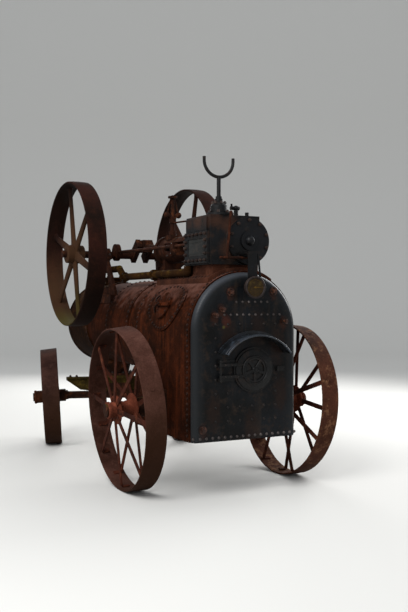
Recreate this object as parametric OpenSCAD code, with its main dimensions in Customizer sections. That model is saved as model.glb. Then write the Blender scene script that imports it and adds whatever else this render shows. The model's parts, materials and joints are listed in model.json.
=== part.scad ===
// Portable steam engine on four iron wheels, as it stands derelict in the open.
// X points to the right of the engine, Y to its smokebox end, Z up from the ground.
// Inside rig(), y = 0 is the rear face of the backhead, and all lengths are in millimetres.

/* [Boiler] */
// Outside radius of the barrel's end rings
barrel_r = 440; // [425:1:445]
// How far the firebox wrapper stands outside the barrel
wrapper_step = 53; // [45:1:60]
// Length of the firebox wrapper from the backhead's rear face
firebox_len = 1200; // [1150:10:1300]
// Height of the firebox bottom above the ground
firebox_z = 466; // [440:2:490]
// Height of the barrel's underside above the ground
barrel_low = 915; // [900:1:930]
// Plate thickness of firebox, barrel and smokebox
plate_t = 12; // [9:1:14]
// Radius of the backhead's flanged edge
flange_r = 50; // [35:1:60]
// Water space round the inner firebox
water_leg = 78; // [65:1:90]
// Height of the inner firebox's crown above the boiler's centre line
crown_lift = 130; // [100:5:160]
// Overlap of the barrel's riveted rings
lap = 60; // [50:2:70]
// Start of the barrel's middle ring, from the backhead
ring_y = 1520; // [1450:10:1600]
// Length of the barrel's middle ring
ring_len = 630; // [600:10:680]

/* [Smokebox] */
// Length from the backhead to the smokebox's front plate
boiler_len = 3380; // [3350:5:3420]
// Length of the smokebox
smokebox_len = 630; // [600:5:660]
// Radius of the smokebox door
smokebox_door_r = 285; // [250:5:300]
// Height of the two door hinges from the door's centre
smokebox_hinge_z = 130; // [110:5:150]
// Bore of the chimney base
chimney_bore = 210; // [190:2:220]
// Chimney's distance in front of the smokebox's rear edge
chimney_set = 300; // [280:5:330]
// Width of the chimney base's upper flange
chimney_flange = 48; // [44:1:60]

/* [Fire hole] */
// Height of the fire door's centre
fire_z = 1035; // [1025:1:1045]
// Fire door's centre, to the right of the boiler's centre
fire_x = 64; // [56:1:72]
// Radius of the fire hole
fire_r = 150; // [135:1:155]
// Radius of the hood's arc
hood_r = 370; // [355:1:385]
// Top of the hood above the fire door's centre
hood_rise = 290; // [280:1:300]
// How far the hood stands out from the backhead
hood_reach = 120; // [100:5:140]
// Fire door hinge's distance to the left of the door's centre
hinge_out = 312; // [300:1:325]
// How far the hinge stands out from the backhead
hinge_reach = 30; // [26:1:36]

/* [Cylinder] */
// Cylinder's centre line above the firebox's crown
cyl_lift = 252; // [245:1:260]
// Cylinder's centre line, to the right of the boiler's centre
cyl_x = 70; // [65:1:75]
// Outside radius of the cylinder's jacket
cyl_r = 198; // [190:1:205]
// Bore radius of the cylinder
bore_r = 125; // [115:1:135]
// Rear face of the cylinder block
cyl_y = 100; // [95:1:110]
// Length of the cylinder block
cyl_len = 550; // [530:5:570]
// Left face of the steam chest, from the boiler's centre
chest_x = 300; // [290:1:310]
// Underside of the steam chest above the firebox's crown
chest_lift = 52; // [48:1:60]
// Height of the steam chest
chest_h = 410; // [400:1:420]
// Length of the steam chest
chest_len = 450; // [440:5:470]
// Thickness of the saddle's flange on the wrapper
saddle_t = 32; // [28:1:36]
// Front end of the saddle's flange, from the backhead
saddle_front = 1150; // [1100:5:1180]
// Half the width of the saddle's flange
saddle_half = 300; // [280:5:320]

/* [Fittings] */
// Radius of the dome's foot on the steam chest
dome_r = 103; // [98:1:108]
// Dome's centre from the boiler's centre
dome_x = -148; // [-154:1:-142]
// Dome's centre in front of the backhead
dome_y = 200; // [190:1:210]
// Radius of the chimney crutch's fork
fork_r = 135; // [128:1:142]
// Centre of the fork above the steam chest
fork_lift = 456; // [445:1:465]
// Radius of the pressure gauge
gauge_r = 85; // [80:1:90]
// Gauge's centre from the boiler's centre
gauge_x = 19; // [15:1:25]
// Gauge's face behind the backhead
gauge_out = 120; // [115:1:125]
// Gauge's centre below the firebox's crown
gauge_drop = 139; // [130:1:150]
// Outside radius of the exhaust pipe
pipe_r = 35; // [32:1:38]
// Outside radius of the chest's drain pipes
drain_r = 11; // [9:1:13]
// Width of the manhole patch, up and round the wrapper
patch_w = 430; // [400:5:450]
// Length of the manhole patch along the boiler
patch_len = 690; // [660:5:710]
// Middle of the manhole patch in front of the backhead
patch_y = 612; // [600:2:630]
// Gap between the patch's upper edge and the cylinder's saddle
patch_gap = 23; // [16:1:30]

/* [Motion] */
// Crankshaft's distance behind the smokebox
crank_set = 264; // [250:2:280]
// Crankshaft's height below the cylinder's centre line
crank_drop = 8; // [0:1:12]
// Crankshaft's radius
shaft_r = 38; // [34:1:42]
// Throw of the crank
crank_throw = 150; // [130:2:160]
// Crank's lean back from upright, in degrees
crank_turn = 50; // [40:1:60]
// Thickness of the crank webs
web_t = 52; // [46:1:58]
// Flywheel's outer radius
fly_r = 759; // [740:1:775]
// Width of the flywheel's rim
fly_w = 190; // [170:2:200]
// Thickness of the flywheel's rim
fly_rim = 34; // [28:1:38]
// Flywheel's middle, outside the firebox wrapper
fly_out = 177; // [165:1:190]
// Outside radius of the trunk guide
guide_r = 128; // [120:1:134]
// Distance between the trunk guide and the crankshaft
guide_gap = 736; // [720:2:760]
// Valve rod to the left of the boiler's centre
valve_x = 200; // [190:1:210]
// Governor's spindle behind the guide's front end
governor_set = 230; // [210:5:250]
// Distance of the governor's balls from its spindle
ball_out = 62; // [58:1:70]

/* [Rear wheels] */
// Radius of the rear wheel at the middle of its tread
rear_r = 690; // [670:1:710]
// Width of the rear tread
rear_w = 174; // [160:2:190]
// Rear wheel's centre outside the firebox wrapper
rear_out = 320; // [312:1:330]
// Rear axle's distance in front of the backhead
rear_y = 651; // [630:1:670]
// Outward lean of the wheels, in degrees
camber = 3.3; // [2.5:0.1:4]
// Radius of the rear stub axles
rear_axle_r = 34; // [30:1:38]
// Rear hub's length outside the wheel's middle
rear_hub_out = 157; // [150:1:165]
// Rear hub's length inside the wheel's middle
rear_hub_in = 110; // [100:1:118]
// Radius of the rear hub
rear_hub_r = 67; // [62:1:72]

/* [Front wheels] */
// Radius of the front wheel at the middle of its tread
front_r = 530; // [515:1:545]
// Width of the front tread
front_w = 180; // [160:2:190]
// Front wheel centre from the steering pivot
front_x = 755; // [745:1:775]
// Steering pivot's distance behind the smokebox's front plate
pivot_set = 408; // [395:1:420]
// Steering angle at which the engine stands, clockwise seen from above
steer = 15.9; // [0:0.1:20]
// Radius of the front axle's ends
front_axle_r = 30; // [27:1:33]
// Front hub's length outside the wheel's middle
front_hub_out = 185; // [175:1:195]
// Front hub's length inside the wheel's middle
front_hub_in = 165; // [155:1:172]
// Radius of the front hub
front_hub_r = 68; // [62:1:72]
// Half the length of the bolster's top bar
bolster_x = 586; // [570:2:600]
// Top bar of the bolster above the front axle
bolster_lift = 193; // [185:1:200]
// Radius of the turntable
turntable_r = 170; // [160:1:180]
// Radius of the kingpin
kingpin_r = 28; // [25:1:31]
// Radius of the drawbar's pin hole
drawbar_r = 20; // [18:0.5:22]

/* [Hidden] */
// Pieces that turn on each other stand this far apart.
run_gap = 0.4;
boiler_z = barrel_low + barrel_r;
half_w = barrel_r + wrapper_step;
wrap_in = half_w - plate_t;
crown_top = boiler_z + half_w;
band_r = barrel_r + plate_t * 2 / 3;
band_top = boiler_z + band_r;
smokebox_r = barrel_r + plate_t * 5 / 6;
smokebox_y = boiler_len - smokebox_len;
sheet_y = smokebox_y + lap;
chimney_y = smokebox_y + chimney_set;
leg_in = wrap_in - water_leg;
inner_y = plate_t + water_leg;
inner_front = firebox_len - plate_t - water_leg;
crown_z = boiler_z + crown_lift;
saddle_r = half_w + saddle_t;
patch_tilt = asin(saddle_half / half_w) + asin(patch_w / 2 / half_w) + patch_gap / half_w * 180 / PI;
cyl_z = crown_top + cyl_lift;
chest_y0 = cyl_y + 8;
chest_z0 = crown_top + chest_lift;
chest_z1 = chest_z0 + chest_h;
crank_y = smokebox_y - crank_set;
crank_z = cyl_z - crank_drop;
pin_y = crank_y - crank_throw * sin(crank_turn);
pin_z = crank_z + crank_throw * cos(crank_turn);
guide_y0 = cyl_y + cyl_len;
guide_len = crank_y - guide_gap - guide_y0;
bracket_x = barrel_r * 3 / 4;
exhaust_x = bracket_x - plate_t * 7 / 6 - pipe_r - 2;
fly_x = half_w + fly_out;
rear_x = half_w + rear_out;
rear_z = rear_r * cos(camber);
front_z = front_r * cos(camber);
pivot_y = boiler_len - pivot_set;
bolster_z = front_z + bolster_lift;
pedestal_z = bolster_z + kingpin_r * 3 / 2;
gauge_y = -gauge_out;
gauge_z = crown_top - gauge_drop;
door_hinge_x = fire_x - hinge_out;
door_hinge_y = -hinge_reach;
front_hinge_x = -smokebox_door_r * 1.2;
front_hinge_y = boiler_len + plate_t * 3.5;
// The frame is centred between the gauge's rim at the rear and the left front wheel.
front_rim_r = front_r - front_w / 2 * tan(camber);
y_front = pivot_y + (front_x + front_w / 2) * sin(steer) + front_rim_r * cos(steer);
y_mid = (y_front + gauge_y - plate_t / 2) / 2;

// Places a piece that is drawn from the backhead forwards.
module rig() {
    translate([0, -y_mid, 0]) children();
}

// Turns a piece that is drawn along Z so that it runs along +Y.
module along_y() {
    rotate([-90, 0, 0]) children();
}

// Turns a piece that is drawn along Z so that it runs along +X.
module along_x() {
    rotate([0, 90, 0]) children();
}

// Round-topped firebox outline, drawn in X and Z as seen from behind.
module arch(r, z0, t) {
    translate([0, t, boiler_z]) rotate([90, 0, 0]) cylinder(r = r, h = t, $fn = 96);
    translate([-r, 0, z0]) cube([2 * r, t, boiler_z - z0]);
}

// Round body on the boiler's centre line, between two distances from the backhead.
module drum(r, y0, y1) {
    translate([0, y0, boiler_z]) along_y() cylinder(r = r, h = y1 - y0, $fn = 96);
}

// Ring of bolts or studs about Z.
module bolt_ring(count, pcd_r, r, h, start = 0) {
    for (i = [0:count - 1])
        rotate([0, 0, start + i * 360 / count]) translate([pcd_r, 0, 0]) cylinder(r = r, h = h, $fn = 16);
}

// Flat bar from one point to another in the plane of X and Z, wide along Y.
module flat_bar(x0, z0, x1, z1, w, t) {
    length = sqrt(pow(x1 - x0, 2) + pow(z1 - z0, 2));
    translate([x0, 0, z0]) rotate([0, atan2(x1 - x0, z1 - z0), 0])
        translate([-t / 2, -w / 2, 0]) cube([t, w, length]);
}

// Round bar from one point to another.
module rod(a, b, r) {
    d = b - a;
    length = norm(d);
    translate(a) rotate([0, acos(d[2] / length), atan2(d[1], d[0])]) cylinder(r = r, h = length, $fn = 24);
}

module firebox_wrapper() {
    color([0.35, 0.17, 0.12]) rig() difference() {
        translate([0, flange_r, 0]) arch(half_w, firebox_z, firebox_len - flange_r);
        translate([0, flange_r - 1, 0]) arch(wrap_in, firebox_z - 1, firebox_len - flange_r - plate_t + 1);
        drum(barrel_r, firebox_len - 2 * plate_t, firebox_len + lap);
    }
}

// Flanged rear plate: flat in the middle, its edge turned forwards on a radius.
module backhead() {
    edge_r = wrap_in;
    flat_r = edge_r - flange_r;
    color([0.11, 0.13, 0.16]) rig() difference() {
        union() {
            arch(flat_r, firebox_z, plate_t);
            translate([0, 0, boiler_z]) rotate([90, 0, 0]) rotate_extrude(angle = 180, $fn = 96)
                flange_profile(flat_r);
            for (s = [0, 1]) mirror([s, 0, 0])
                translate([0, 0, firebox_z]) linear_extrude(boiler_z - firebox_z)
                    mirror([0, 1, 0]) flange_profile(flat_r);
        }
        translate([fire_x, -1, fire_z]) along_y() cylinder(r = fire_r, h = plate_t + 2, $fn = 64);
    }
}

// Quarter-round flange in plan: X is the distance from the centre, -Y runs forwards.
module flange_profile(flat_r) {
    difference() {
        translate([flat_r, -flange_r]) circle(r = flange_r, $fn = 48);
        translate([flat_r, -flange_r]) circle(r = flange_r - plate_t, $fn = 48);
        translate([flat_r - 2 * flange_r, -2 * flange_r]) square([2 * flange_r, 2 * flange_r]);
        translate([flat_r - flange_r, -3 * flange_r]) square([3 * flange_r, 2 * flange_r]);
    }
    translate([flat_r + flange_r - plate_t, -flange_r * 1.8]) square([plate_t, flange_r * 0.8]);
}

// Inner firebox with its crown, the tunnel of the fire hole and the grate bars.
module inner_firebox() {
    t = plate_t;
    bar_w = t * 5 / 3;
    color([0.2, 0.12, 0.09]) rig() {
        difference() {
            translate([-leg_in, inner_y, firebox_z])
                cube([2 * leg_in, inner_front - inner_y, crown_z - firebox_z]);
            translate([-leg_in + t, inner_y + t, firebox_z - 1])
                cube([2 * leg_in - 2 * t, inner_front - inner_y - 2 * t, crown_z - firebox_z - t + 1]);
            translate([fire_x, inner_y - 1, fire_z]) along_y() cylinder(r = fire_r, h = t + 2, $fn = 64);
        }
        translate([fire_x, t, fire_z]) along_y() difference() {
            cylinder(r = fire_r + bar_w, h = inner_y - t, $fn = 64);
            translate([0, 0, -1]) cylinder(r = fire_r, h = inner_y, $fn = 64);
        }
        for (i = [-6:6])
            translate([i * leg_in / 7 - bar_w / 2, inner_y + t, firebox_z + 6 * t])
                cube([bar_w, inner_front - inner_y - 2 * t, 5 * t]);
    }
}

module foundation_ring() {
    ring_h = 5 * plate_t;
    color([0.16, 0.1, 0.08]) rig() difference() {
        translate([-wrap_in, 0, firebox_z]) cube([2 * wrap_in, firebox_len - plate_t, ring_h]);
        translate([-leg_in, inner_y, firebox_z - 1]) cube([2 * leg_in, inner_front - inner_y, ring_h + 2]);
        translate([-half_w, -1, firebox_z - 1]) cube([2 * half_w, plate_t + 1, ring_h + 2]);
        for (s = [-1, 1]) translate([s * half_w, 0, firebox_z - 1])
            translate([-flange_r - plate_t, 0, 0])
                cube([2 * (flange_r + plate_t), flange_r * 1.8 + 2, ring_h + 2]);
    }
}

// Three lapped rings: the middle one lies outside its neighbours.
module boiler_barrel() {
    back = firebox_len - plate_t;
    color([0.33, 0.16, 0.11]) rig() difference() {
        union() {
            drum(barrel_r, back, ring_y + lap);
            drum(band_r, ring_y, ring_y + ring_len);
            drum(barrel_r, ring_y + ring_len - lap, sheet_y);
        }
        drum(barrel_r - plate_t, back - 1, sheet_y + 1);
    }
}

module smokebox() {
    color([0.3, 0.15, 0.08]) rig() difference() {
        drum(smokebox_r, smokebox_y, boiler_len);
        drum(barrel_r, smokebox_y - 1, boiler_len + 1);
        translate([0, chimney_y, boiler_z]) cylinder(r = chimney_bore / 2, h = 2 * smokebox_r, $fn = 64);
    }
}

// Front plate with the doorway and the two hinge lugs of the door.
module smokebox_front() {
    lug_r = plate_t * 5 / 4;
    pin_y = front_hinge_y - boiler_len - plate_t;
    color([0.22, 0.12, 0.09]) rig() {
        difference() {
            drum(smokebox_r + plate_t, boiler_len, boiler_len + plate_t);
            drum(smokebox_door_r - lug_r, boiler_len - 1, boiler_len + plate_t + 1);
        }
        for (z = [-1, 1]) translate([front_hinge_x, boiler_len + plate_t, boiler_z + z * smokebox_hinge_z])
            difference() {
                union() {
                    translate([-22, 0, -48]) cube([44, 10, 96]);
                    for (dz = [-44, 20]) translate([-11, 0, dz]) cube([22, pin_y, 24]);
                    for (dz = [-44, 20]) translate([0, pin_y, dz]) cylinder(r = lug_r, h = 24, $fn = 32);
                }
                translate([0, pin_y, -60]) cylinder(r = plate_t * 3 / 4, h = 120, $fn = 32);
            }
    }
}

// Tube plate across the barrel's end, seen through the smokebox door.
module tube_plate() {
    tube_r = barrel_r / 16.3;
    pitch = 3 * tube_r;
    color([0.25, 0.14, 0.1]) rig() translate([0, sheet_y - plate_t, boiler_z]) along_y() difference() {
        cylinder(r = barrel_r - plate_t, h = plate_t, $fn = 96);
        for (row = [-3:3]) for (col = [-4:4]) {
            x = (col + (row % 2 == 0 ? 0 : 0.5)) * pitch;
            y = row * pitch * 0.866 + pitch / 2;
            if (norm([x, y]) < barrel_r - pitch)
                translate([x, y, -1]) cylinder(r = tube_r, h = plate_t + 2, $fn = 32);
        }
    }
}

module chimney_base() {
    bore = chimney_bore / 2;
    neck_h = chimney_flange * 4 / 3 - 2;
    flange_t = plate_t * 4 / 3;
    color([0.28, 0.14, 0.08]) rig() translate([0, chimney_y, 0]) difference() {
        union() {
            intersection() {
                drum(smokebox_r + flange_t, -2 * bore, 2 * bore);
                translate([0, 0, boiler_z])
                    cylinder(r = bore + chimney_flange * 1.3, h = 2 * smokebox_r, $fn = 64);
            }
            translate([0, 0, boiler_z])
                cylinder(r = bore + plate_t * 1.5, h = smokebox_r + neck_h, $fn = 64);
            translate([0, 0, boiler_z + smokebox_r + neck_h - flange_t])
                cylinder(r = bore + chimney_flange, h = flange_t, $fn = 64);
        }
        translate([0, 0, boiler_z - 1]) cylinder(r = bore, h = 2 * smokebox_r, $fn = 64);
        drum(smokebox_r, -2 * bore - 1, 2 * bore + 1);
        translate([0, 0, boiler_z + smokebox_r + neck_h - flange_t * 1.5])
            bolt_ring(6, bore + chimney_flange * 0.7, 7, 3 * flange_t, 30);
    }
}

// Cast saddle: a curved flange on the wrapper that carries the cylinder block.
module cylinder_saddle() {
    flange_low = barrel_r * 2 / 3;
    box_x = exhaust_x - pipe_r - 6;
    color([0.33, 0.16, 0.11]) rig() difference() {
        union() {
            intersection() {
                drum(saddle_r, cyl_y, saddle_front);
                translate([-saddle_half, cyl_y - 1, boiler_z])
                    cube([2 * saddle_half, saddle_front, 2 * saddle_r]);
            }
            translate([-box_x, cyl_y + saddle_t, boiler_z + flange_low])
                cube([box_x + cyl_x + cyl_r * 0.6, cyl_len - 2 * saddle_t,
                      chest_z0 - boiler_z - flange_low]);
            translate([-box_x, cyl_y + cyl_len - 3 * saddle_t, boiler_z + flange_low])
                cube([box_x + cyl_x / 2, 6 * saddle_t, chest_z0 - boiler_z - flange_low - plate_t]);
        }
        drum(half_w, 0, saddle_front + lap);
    }
}

// Cylinder, the block that joins it to the saddle, and the steam chest on its left.
module cylinder_block() {
    color([0.14, 0.15, 0.16]) rig() difference() {
        union() {
            translate([cyl_x, cyl_y, cyl_z]) along_y() cylinder(r = cyl_r, h = cyl_len, $fn = 96);
            translate([-chest_x + 24, chest_y0, chest_z0])
                cube([chest_x - 24 + cyl_x, chest_len, chest_h]);
            translate([cyl_x - cyl_r * 0.96, chest_y0, chest_z0])
                cube([cyl_r * 1.57, cyl_len - 20, chest_h]);
            translate([-chest_x + 4, chest_y0 + 30, chest_z0 + chest_h * 0.685])
                cube([cyl_r, chest_len - 60, chest_h * 0.27]);
        }
        translate([cyl_x, cyl_y - 1, cyl_z]) along_y() cylinder(r = bore_r, h = cyl_len + 2, $fn = 64);
    }
}

// Cylinder's rear cover: a turned plate with a raised ring, a domed middle and its nuts.
module cylinder_rear_cover() {
    cover_t = plate_t * 13 / 6;
    ring_t = plate_t * 7 / 6;
    dome = cyl_r * 0.21;
    color([0.12, 0.13, 0.14]) rig() translate([cyl_x, cyl_y - cover_t, cyl_z]) along_y() {
        cylinder(r = cyl_r - 4, h = cover_t, $fn = 96);
        translate([0, 0, -ring_t]) cylinder(r = cyl_r * 0.4, h = ring_t, $fn = 64);
        translate([0, 0, -ring_t]) rotate_extrude($fn = 64) difference() {
            circle(r = dome, $fn = 48);
            translate([-dome - 8, -dome - 8]) square([dome + 8, 2 * dome + 16]);
            square([dome + 8, dome + 8]);
        }
        translate([0, 0, -10]) bolt_ring(10, cyl_r - 26, 11, 12, 18);
    }
}

// Chest cover on the left face: a plate with its studs and nuts.
module chest_cover() {
    cover_h = chest_h * 0.68 - plate_t;
    stud_y = (chest_len - 2 * saddle_t) / 5.21;
    color([0.16, 0.17, 0.18]) rig() translate([-chest_x, chest_y0 + plate_t, chest_z0 + plate_t]) {
        difference() {
            cube([2 * plate_t, chest_len - 2 * plate_t, cover_h]);
            translate([-1, chest_len * 0.147, cover_h * 0.224])
                cube([9, chest_len * 0.653, cover_h * 0.552]);
        }
        for (i = [0:5]) for (z = [0.097, 0.903])
            translate([-plate_t, 28 + i * stud_y, cover_h * z]) along_x()
                cylinder(r = plate_t, h = plate_t + 2, $fn = 16);
        for (i = [0, 5]) for (z = [0.3, 0.5, 0.7])
            translate([-plate_t, 28 + i * stud_y, cover_h * z]) along_x()
                cylinder(r = plate_t, h = plate_t + 2, $fn = 16);
    }
}

module steam_dome() {
    foot_t = dome_r * 0.21;
    wall_r = dome_r * 0.68;
    wall_h = dome_r * 0.58;
    cap_h = dome_r * 0.35;
    color([0.2, 0.16, 0.12]) rig() translate([dome_x, dome_y, chest_z1]) {
        cylinder(r = dome_r, h = foot_t, $fn = 48);
        translate([0, 0, foot_t]) cylinder(r = wall_r, h = wall_h, $fn = 48);
        translate([0, 0, foot_t + wall_h]) cylinder(r1 = wall_r, r2 = dome_r * 0.35, h = cap_h, $fn = 48);
        translate([0, 0, foot_t + wall_h + cap_h]) cylinder(r = dome_r * 0.33, h = dome_r * 0.2, $fn = 32);
        translate([0, 0, foot_t]) bolt_ring(6, dome_r * 0.835, 9, 10);
    }
}

// Forked rest that carries the lowered chimney.
module chimney_crutch() {
    bar_r = fork_r * 0.104;
    stem_z = chest_z1 + dome_r * 1.34;
    fork_z = chest_z1 + fork_lift;
    color([0.3, 0.17, 0.12]) rig() translate([dome_x, dome_y, 0]) {
        translate([0, 0, stem_z]) cylinder(r = bar_r * 1.27, h = fork_z - fork_r - stem_z + 4, $fn = 24);
        translate([0, 0, stem_z]) cylinder(r = bar_r * 1.9, h = bar_r * 1.5, $fn = 24);
        translate([0, 0, fork_z]) rotate([90, 0, 0]) rotate([0, 0, 180])
            rotate_extrude(angle = 180, $fn = 64)
            translate([fork_r, 0]) circle(r = bar_r, $fn = 24);
        for (s = [-1, 1]) translate([s * fork_r, 0, fork_z]) cylinder(r = bar_r, h = 2 * bar_r, $fn = 24);
    }
}

// Stop valve with its lying body and knob, and the lubricator beside it, on top of the block.
module top_valve() {
    body_r = dome_r * 0.233;
    valve_y = 3 * cyl_y;
    color([0.24, 0.18, 0.12]) rig() {
        translate([cyl_x, valve_y, chest_z1]) {
            cylinder(r = body_r * 1.6, h = 12, $fn = 32);
            cylinder(r = body_r * 0.8, h = 3 * body_r, $fn = 32);
            translate([-2.2 * body_r, 0, 3.4 * body_r]) along_x()
                cylinder(r = body_r * 0.7, h = 3.4 * body_r, $fn = 32);
            translate([0, 0, 3.4 * body_r]) sphere(r = body_r, $fn = 32);
            translate([-1.8 * body_r, 0, 3.4 * body_r]) cylinder(r = 9, h = body_r * 1.5, $fn = 24);
        }
        translate([cyl_x + cyl_r * 0.54, valve_y, chest_z1]) {
            cylinder(r = body_r * 0.42, h = 26, $fn = 24);
            translate([0, 0, 20]) cylinder(r = body_r * 0.7, h = body_r * 1.25, $fn = 32);
        }
    }
}

// Steam pipe from the block's top, down in front of its rear face, and the drain across its foot.
module drain_pipes() {
    top_x = cyl_x - cyl_r * 0.95;
    seat_x = cyl_x - cyl_r * 0.68;
    low_x = cyl_x - cyl_r * 1.13;
    seat_y = chest_y0 + drain_r + 1;
    low_y = cyl_y - 46 - drain_r;
    low_z = chest_z0 + 5 * drain_r;
    top_z = chest_z1 + drain_r + 4;
    joint_r = drain_r * 1.3;
    color([0.36, 0.18, 0.1]) rig() {
        translate([seat_x, seat_y, chest_z1]) cylinder(r = drain_r, h = top_z - chest_z1, $fn = 24);
        translate([seat_x, seat_y, top_z]) sphere(r = drain_r * 1.05, $fn = 24);
        rod([seat_x, seat_y, top_z], [top_x, low_y, top_z], drain_r);
        translate([top_x, low_y, top_z]) sphere(r = joint_r, $fn = 24);
        rod([top_x, low_y, top_z], [low_x, low_y, low_z], drain_r);
        translate([low_x, low_y, low_z]) sphere(r = joint_r, $fn = 24);
        translate([low_x - 6 * drain_r, low_y, low_z]) along_x()
            cylinder(r = drain_r, h = 24 * drain_r, $fn = 24);
        translate([low_x, low_y, low_z]) along_y() cylinder(r = drain_r, h = chest_y0 - low_y, $fn = 24);
    }
}

module pressure_gauge() {
    case_t = gauge_r * 0.4;
    color([0.45, 0.36, 0.15]) rig() translate([gauge_x, gauge_y + case_t, gauge_z]) rotate([90, 0, 0]) {
        cylinder(r = gauge_r, h = case_t, $fn = 64);
        translate([0, 0, case_t - 8]) difference() {
            cylinder(r = gauge_r + 6, h = 14, $fn = 64);
            translate([0, 0, 8]) cylinder(r = gauge_r - 8, h = 8, $fn = 64);
        }
    }
}

// Iron plate and slanting strap that hang the gauge from the cylinder's rear cover.
module gauge_bracket() {
    top_z = cyl_z - cyl_r * 0.525;
    back = gauge_y + gauge_r * 0.4;
    foot = cyl_y - plate_t * 13 / 6 - back;
    plate_w = gauge_r;
    color([0.14, 0.15, 0.17]) rig() {
        translate([0, back + plate_t / 2, 0]) {
            flat_bar(gauge_x - 5, gauge_z + gauge_r * 0.35, gauge_x - 5, top_z - 6, 9, plate_w);
            flat_bar(gauge_x + gauge_r * 0.85, gauge_z + gauge_r * 0.4, gauge_x + gauge_r * 0.56,
                     top_z - 6, 9, 14);
        }
        translate([gauge_x - plate_w * 0.57, back, top_z - 14]) cube([plate_w * 1.27, foot, 20]);
        translate([gauge_x, back + plate_t, gauge_z]) rotate([90, 0, 0])
            cylinder(r = gauge_r * 0.92, h = plate_t, $fn = 48);
    }
}

// Bored trunk guide for the crosshead, open at the sides, with a foot on the barrel.
module trunk_guide() {
    wall = guide_r / 8;
    window_len = guide_len * 0.51;
    window_h = guide_r;
    foot_y = guide_y0 + guide_len - 200;
    foot_z = band_top - 148;
    color([0.26, 0.15, 0.1]) rig() difference() {
        union() {
            translate([cyl_x, guide_y0, cyl_z]) along_y() {
                cylinder(r = cyl_r - 10, h = 24, $fn = 64);
                cylinder(r = guide_r, h = guide_len, $fn = 64);
                translate([0, 0, guide_len - 50]) cylinder(r = guide_r + 22, h = 50, $fn = 64);
                translate([0, 0, guide_len * 0.273]) cylinder(r = guide_r + 14, h = 40, $fn = 64);
            }
            translate([cyl_x - guide_r * 0.7, foot_y + 50, foot_z])
                cube([guide_r * 1.4, 60, cyl_z - foot_z - guide_r * 0.6]);
            translate([cyl_x - guide_r, foot_y, foot_z]) cube([2 * guide_r, 160, 165]);
        }
        translate([cyl_x, guide_y0 - 1, cyl_z]) along_y()
            cylinder(r = guide_r - wall, h = guide_len + 2, $fn = 64);
        translate([cyl_x - 1.5 * guide_r, guide_y0 + guide_len * 0.318, cyl_z - window_h / 2])
            cube([3 * guide_r, window_len, window_h]);
        drum(band_r, 0, boiler_len);
    }
}

// Ball governor on the guide: stand, spindle, two arms, balls and cap, and the lever that
// runs back to a post on the cylinder block.
module governor() {
    gx = cyl_x - guide_r / 3;
    gy = guide_y0 + guide_len - governor_set;
    base_z = cyl_z + guide_r;
    ball_z = base_z + guide_r * 1.7;
    cap_z = base_z + guide_r * 3;
    post_x = cyl_x + 20 - gx;
    post_y = guide_y0 - saddle_t * 1.6 - gy;
    color([0.22, 0.14, 0.1]) rig() translate([gx, gy, 0]) {
        difference() {
            translate([-50, -60, base_z - 30]) cube([100, 120, 48]);
            translate([cyl_x - gx, -100, cyl_z]) along_y() cylinder(r = guide_r, h = 200, $fn = 64);
        }
        translate([0, 0, base_z + 10]) {
            cylinder(r = ball_out * 0.58, h = 50, $fn = 32);
            cylinder(r = ball_out * 0.39, h = guide_r * 1.33, $fn = 32);
            translate([0, 0, guide_r]) cylinder(r = ball_out * 0.56, h = 36, $fn = 32);
            cylinder(r = ball_out * 0.29, h = cap_z - base_z, $fn = 32);
        }
        translate([0, 0, cap_z]) cylinder(r = ball_out * 0.73, h = 20, $fn = 32);
        translate([0, 0, cap_z + 15]) cylinder(r = 12, h = 14, $fn = 24);
        for (s = [-1, 1]) {
            translate([s * ball_out, 0, ball_z]) sphere(r = ball_out / 2, $fn = 32);
            rod([s * ball_out, 0, ball_z], [s * 18, 0, cap_z + 4], 8);
            rod([s * ball_out, 0, ball_z], [0, 0, base_z + guide_r * 1.31], 6);
        }
        rod([0, 0, base_z + guide_r * 1.1], [post_x, post_y, chest_z1 + 42], 9);
        translate([post_x, post_y, chest_z1]) cylinder(r = 13, h = 54, $fn = 24);
    }
}

// Connecting rod with its big end, the crosshead in the guide and the piston rod.
module connecting_rod() {
    rod_r = shaft_r * 0.71;
    rod_end = guide_y0 + guide_len * 0.69;
    end_w = 2 * shaft_r + 4;
    color([0.3, 0.17, 0.12]) rig() {
        rod([cyl_x, rod_end, cyl_z], [cyl_x, pin_y - 1.6 * shaft_r, pin_z - 6], rod_r);
        translate([cyl_x, rod_end - 90, cyl_z]) along_y() cylinder(r = guide_r * 0.86, h = 120, $fn = 64);
        translate([cyl_x, guide_y0 - 80, cyl_z]) along_y()
            cylinder(r = rod_r, h = rod_end - guide_y0, $fn = 32);
        difference() {
            translate([cyl_x - end_w / 2, pin_y - 2.5 * shaft_r, pin_z - 1.7 * shaft_r])
                cube([end_w, 5 * shaft_r, 3.4 * shaft_r]);
            translate([cyl_x - end_w, pin_y, pin_z]) along_x()
                cylinder(r = shaft_r + run_gap, h = 2 * end_w, $fn = 48);
        }
    }
}

// Bent crankshaft with its two webs and the crank pin, in line with the cylinder.
module crankshaft() {
    end_x = fly_x + fly_w / 2 + shaft_r;
    pin_half = shaft_r + 6;
    color([0.3, 0.16, 0.1]) rig() translate([0, crank_y, crank_z]) {
        translate([-end_x, 0, 0]) along_x()
            cylinder(r = shaft_r, h = end_x + cyl_x - pin_half - web_t / 2, $fn = 48);
        translate([cyl_x + pin_half + web_t / 2, 0, 0]) along_x()
            cylinder(r = shaft_r, h = end_x - cyl_x - pin_half - web_t / 2, $fn = 48);
        rotate([crank_turn, 0, 0]) {
            translate([cyl_x - pin_half - web_t / 2, 0, crank_throw]) along_x()
                cylinder(r = shaft_r, h = 2 * pin_half + web_t, $fn = 48);
            for (s = [-1, 1])
                translate([cyl_x + s * (pin_half + web_t / 2) - web_t / 2, -web_t, -1.1 * web_t])
                    cube([web_t, 2 * web_t, crank_throw + 2.1 * web_t]);
        }
    }
}

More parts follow.
